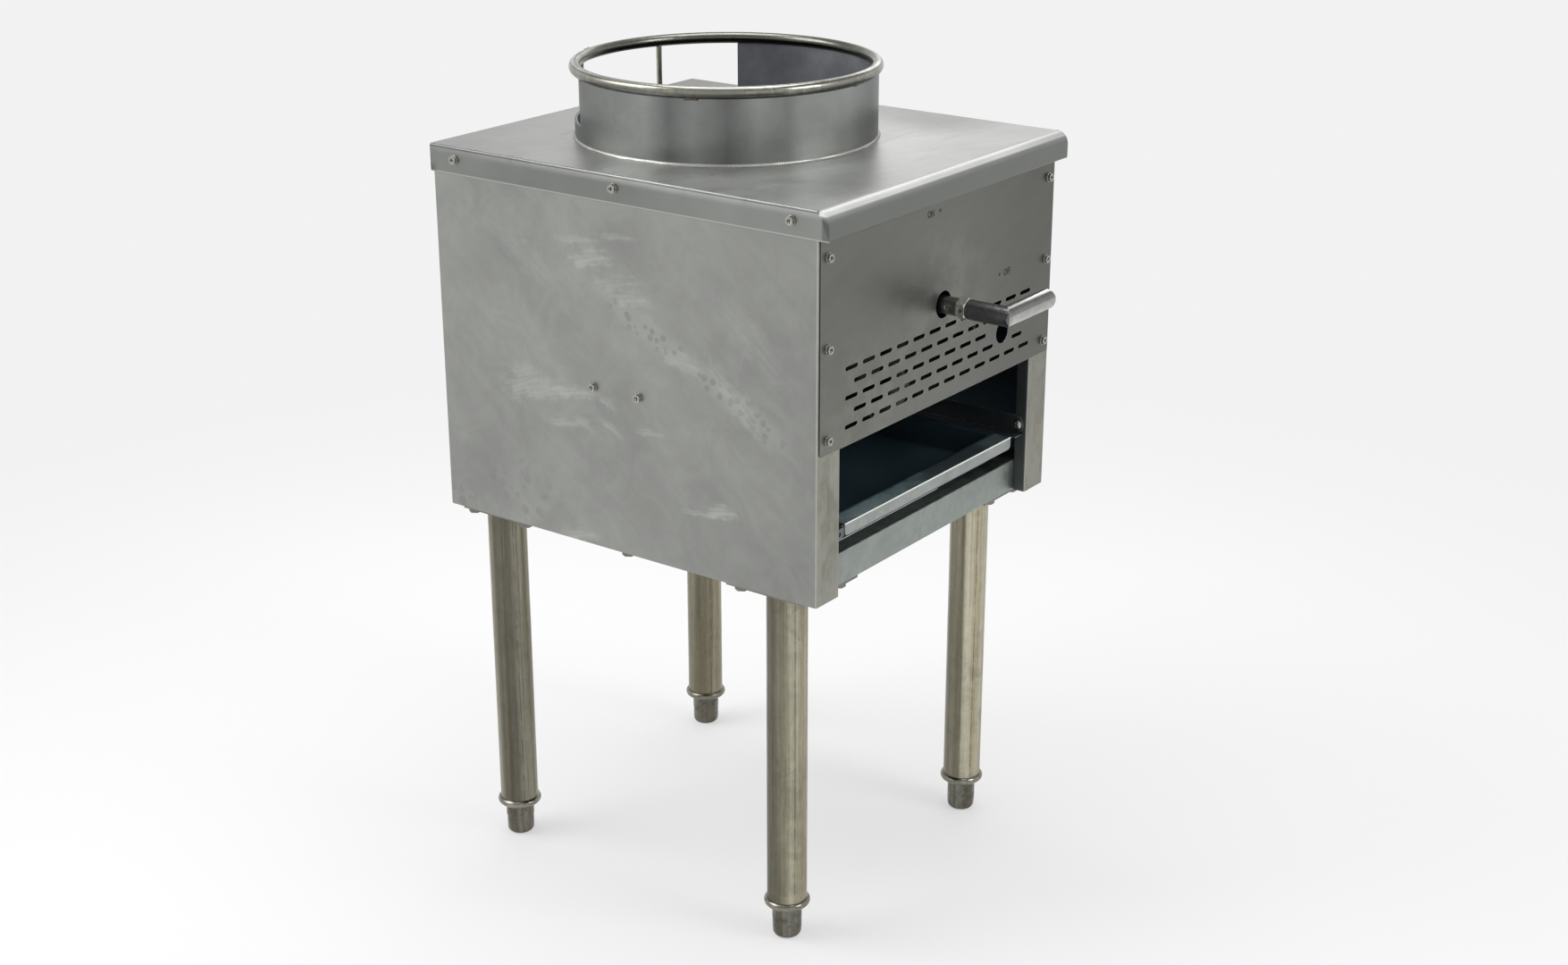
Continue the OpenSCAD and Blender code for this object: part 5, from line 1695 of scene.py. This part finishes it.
@dataclass
class Legs:
    """The four tube legs with their plates, beads and feet."""

    nodes: dict[str, bpy.types.Object]
    colour: Colour = (0.27, 0.26, 0.205)

    def build(self) -> None:
        """Dresses each corner with its own run of bands and painted light and shade."""
        plate = SheetSteel("leg_plate_steel", (0.22, 0.22, 0.20), 0.45, lines=0.08, cloud=0.25)
        bead = PolishedBar("bead_steel", (0.27, 0.26, 0.215), 0.12, 1.0, (0.05, 0.045, 0.035), 0.6)
        corners = (("front_left", -LEG_X, LEG_YS[0], 1.0), ("front_right", LEG_X, LEG_YS[0], 4.4),
                   ("rear_left", -LEG_X, LEG_YS[1], 7.7), ("rear_right", LEG_X, LEG_YS[1], 12.1))
        for corner, x, y, seed in corners:
            tube = DrawnTube("leg_steel_" + corner, self.colour, 0.24, 1.0, (x, y, 0.0), seed=seed,
                             sides=PAINTED_LEG_SHADING[corner], seam=0.38)
            foot = DrawnTube("foot_steel_" + corner, (0.225, 0.22, 0.185), 0.3, 1.0, (x, y, 0.0),
                             (0.14, 0.13, 0.10), (0.06, 0.058, 0.052), seed + 20.0, blots=1.0, stains=45.0)
            dress(self.nodes, ("leg_" + corner,), tube)
            dress(self.nodes, ("foot_" + corner,), foot)
            dress(self.nodes, ("leg_collar_" + corner,), bead)
            dress(self.nodes, ("leg_plate_" + corner,), plate)


@dataclass
class Burner:
    """The cast jet burner, its chamber, its pipes and its pilot."""

    nodes: dict[str, bpy.types.Object]

    def build(self) -> None:
        """Dresses the castings, the brass and the pipes."""
        flame = (0.0, RING_Y, 0.70)
        iron = Casting("burner_iron", (0.07, 0.066, 0.062), 0.5, 0.75, heat=flame)
        lining = Casting("lining_iron", (0.055, 0.05, 0.047), 0.6, 0.6, (0.07, 0.04, 0.025), 220.0, 0.5 * MM,
                         0.45)
        malleable = Casting("malleable", (0.045, 0.044, 0.043), 0.42, 0.8, (0.05, 0.032, 0.022), 420.0,
                            0.2 * MM, 0.25)
        drum = SheetSteel("chamber_steel", (0.10, 0.095, 0.09), 0.5, grain=Grain.ALONG_Z, lines=0.1,
                          cloud=0.5, scale=10.0)
        brass = PolishedBar("brass", (0.60, 0.42, 0.16), 0.26, 1.0, (0.16, 0.10, 0.04), 0.45)
        tube = PolishedBar("tube_aluminium", (0.58, 0.58, 0.57), 0.3, 1.0, (0.2, 0.19, 0.18), 0.3)
        steel = PolishedBar("pilot_steel", (0.35, 0.34, 0.32), 0.35, 1.0, (0.07, 0.05, 0.04), 0.5)
        for names, finish in (
                (("burner_body",), iron), (("chamber_lining",), lining), (("pipe_elbows",), malleable),
                (("fire_chamber",), drum),
                (("burner_jets", "valve_body", "valve_bonnet", "valve_plug", "pilot_valve"), brass),
                (("pilot_tube",), tube), (("pilot_burner", "valve_bracket"), steel)):
            dress(self.nodes, names, finish)
        inlet = (170 * MM, 0.0, 640 * MM)
        for name, axis, thread in (
                ("supply_pipe", Grain.ALONG_Y, FRONT_Y + 530 * MM), ("close_nipple", Grain.ALONG_Z, None),
                ("cross_pipe", Grain.ALONG_X, None), ("drop_pipe", Grain.ALONG_Z, None),
                ("feed_pipe", Grain.ALONG_Y, None), ("burner_riser", Grain.ALONG_Z, None)):
            pipe = BlackPipe("black_pipe_" + name, (0.035, 0.036, 0.038), 0.32, 0.7, axis, thread, inlet)
            dress(self.nodes, (name,), pipe)


@dataclass
class Handle:
    """The valve's handle: shaft, nut, set screw, arm and polished grip."""

    nodes: dict[str, bpy.types.Object]

    def build(self) -> None:
        """Dresses the handle's parts."""
        arm = PolishedBar("arm_steel", (0.205, 0.21, 0.208), 0.22, 1.0, (0.045, 0.045, 0.05), 1.0)
        grip = GripBar("grip_steel", (0.79, 0.80, 0.77), 0.15, 1.0, (0.26, 0.26, 0.24), 0.3)
        nut = PolishedBar("nut_steel", (0.72, 0.72, 0.69), 0.16, 1.0, (0.05, 0.05, 0.045), 0.9)
        screw = Fastener("dark_screw", (0.16, 0.16, 0.165), 0.3)
        for names, finish in (
                (("handle_arm", "shaft_tube"), arm), (("handle_grip",), grip),
                (("handle_nut", "shaft_pin"), nut), (("handle_set_screw",), screw)):
            dress(self.nodes, names, finish)


@dataclass(frozen=True)
class Lamp:
    """One soft rectangular lamp: where it hangs, what it points at, its width and height, and its power."""

    name: str
    at: Point
    aim: Point
    size: tuple[float, float]
    watts: float

    def hang(self) -> None:
        """Hangs the lamp."""
        data = bpy.data.lights.new(self.name, "AREA")
        data.shape = "RECTANGLE"
        data.size, data.size_y = self.size
        data.energy = self.watts
        thing = bpy.data.objects.new(self.name, data)
        thing.location = self.at
        thing.rotation_euler = (Vector(self.aim) - Vector(self.at)).to_track_quat("-Z", "Y").to_euler()
        bpy.context.scene.collection.objects.link(thing)


@dataclass
class Studio:
    """A pale floor, soft lamps, the world and the camera."""

    eye: Point = (-1.983, -1.4715, 1.379)
    azimuth: float = 53.853
    tilt: float = -20.67
    lens: float = 52.66
    floor_shade: float = 0.83
    floor_rings: tuple[float, ...] = (0.6, 1.4, 2.6, 4.0, 7.0, 11.0, 16.0)
    floor_count: int = 96
    # how far out the plain backdrop's share of the floor starts to grow and is whole, and its share before
    backdrop: tuple[float, float, float] = (0.75, 1.9, 0.55)
    backdrop_light: float = 0.89
    # the angles above the horizon between which the world's light changes, and its light at each
    world_angles: tuple[float, float] = (math.radians(19), math.radians(36))
    world_light: tuple[float, float] = (0.92, 0.5)
    lamps: tuple[Lamp, ...] = (
        Lamp("key_lamp", (-1.7, 1.9, 2.9), (0.0, 0.0, 0.5), (2.0, 2.0), 62.0),
        Lamp("top_lamp", (0.3, 0.2, 3.2), (0.0, 0.0, 0.5), (1.8, 1.8), 40.0),
        Lamp("front_lamp", (0.5, -2.9, 2.5), (0.0, 0.0, 0.6), (1.2, 1.4), 34.0),
        Lamp("far_lamp", (4.6, 2.0, 2.7), (0.0, 0.0, 0.8), (2.4, 1.6), 12.0))

    def camera(self) -> None:
        """Sets up the camera at the photograph's angle."""
        data = bpy.data.cameras.new("camera")
        data.lens = self.lens
        data.sensor_width = 36.0
        data.sensor_fit = "HORIZONTAL"
        data.clip_end = 60.0
        thing = bpy.data.objects.new("camera", data)
        az, el = math.radians(self.azimuth), math.radians(self.tilt)
        look = Vector((math.cos(el) * math.sin(az), math.cos(el) * math.cos(az), math.sin(el)))
        thing.location = self.eye
        thing.rotation_euler = look.to_track_quat("-Z", "Y").to_euler()
        bpy.context.scene.collection.objects.link(thing)
        bpy.context.scene.camera = thing

    def floor(self) -> None:
        """Lays a round pale floor that turns into plain backdrop far from the part."""
        count = self.floor_count
        points: list[Point] = [(0.0, 0.0, 0.0)]
        for r in self.floor_rings:
            points += [(x, y, 0.0) for x, y in circle(r, count)]
        faces: list[tuple[int, ...]] = [(0, 1 + i, 1 + (i + 1) % count) for i in range(count)]
        for k in range(len(self.floor_rings) - 1):
            a, b = 1 + k * count, 1 + (k + 1) * count
            faces += [(a + i, b + i, b + (i + 1) % count, a + (i + 1) % count) for i in range(count)]
        thing = Mesher.piece("studio_floor", points, faces)
        material = bpy.data.materials.new("studio_floor")
        material.use_nodes = True
        material.node_tree.nodes.clear()
        graph = Graph(material.node_tree)
        place = graph.add("ShaderNodeTexCoord").outputs["Object"]
        rays = graph.add("ShaderNodeLightPath").outputs
        seen = graph.math("MAXIMUM", rays["Is Camera Ray"],
                          graph.math("MAXIMUM", rays["Is Glossy Ray"], rays["Is Transmission Ray"]))
        near, far, share = self.backdrop
        plain = graph.ease(graph.vector("LENGTH", place), near, far, share, 1.0) * seen
        matte = graph.add("ShaderNodeBsdfDiffuse", Color=(self.floor_shade,) * 3)
        light = graph.add("ShaderNodeEmission", Color=(1.0, 1.0, 1.0), Strength=self.backdrop_light)
        both = graph.add("ShaderNodeMixShader", Fac=plain)
        graph.plug(both.inputs[1], matte.outputs[0])
        graph.plug(both.inputs[2], light.outputs[0])
        end = graph.add("ShaderNodeOutputMaterial")
        graph.plug(end.inputs["Surface"], both.outputs[0])
        thing.data.materials.append(material)

    def world(self) -> None:
        """A world that is pale near the horizon and grey above."""
        world = bpy.data.worlds.new("studio_world")
        bpy.context.scene.world = world
        world.use_nodes = True
        world.node_tree.nodes.clear()
        graph = Graph(world.node_tree)
        _, _, up = graph.split(graph.add("ShaderNodeTexCoord").outputs["Generated"])
        low, high = (math.sin(angle) for angle in self.world_angles)
        sky = graph.add("ShaderNodeBackground", Color=(1.0, 1.0, 1.0),
                        Strength=graph.ease(up, low, high, *self.world_light))
        end = graph.add("ShaderNodeOutputWorld")
        graph.plug(end.inputs["Surface"], sky.outputs[0])

    def build(self) -> None:
        """Sets the view, the floor, the world, the lamps and the camera."""
        bpy.context.scene.view_settings.view_transform = "Standard"
        self.floor()
        self.world()
        for lamp in self.lamps:
            lamp.hang()
        self.camera()
        log.info("studio: floor, world, %d lamps and camera", len(self.lamps))


def main() -> None:
    """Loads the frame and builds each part's looks."""
    logging.basicConfig(level=logging.INFO, format="%(name)s: %(message)s")
    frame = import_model()
    nodes = frame["nodes"]
    smooth_nodes(nodes)
    for part in (Cabinet(nodes), Legs(nodes), Burner(nodes), Handle(nodes)):
        part.build()
    Letters().build()
    RingWelds().build()
    Studio().build()


if __name__ == "__main__":
    main()
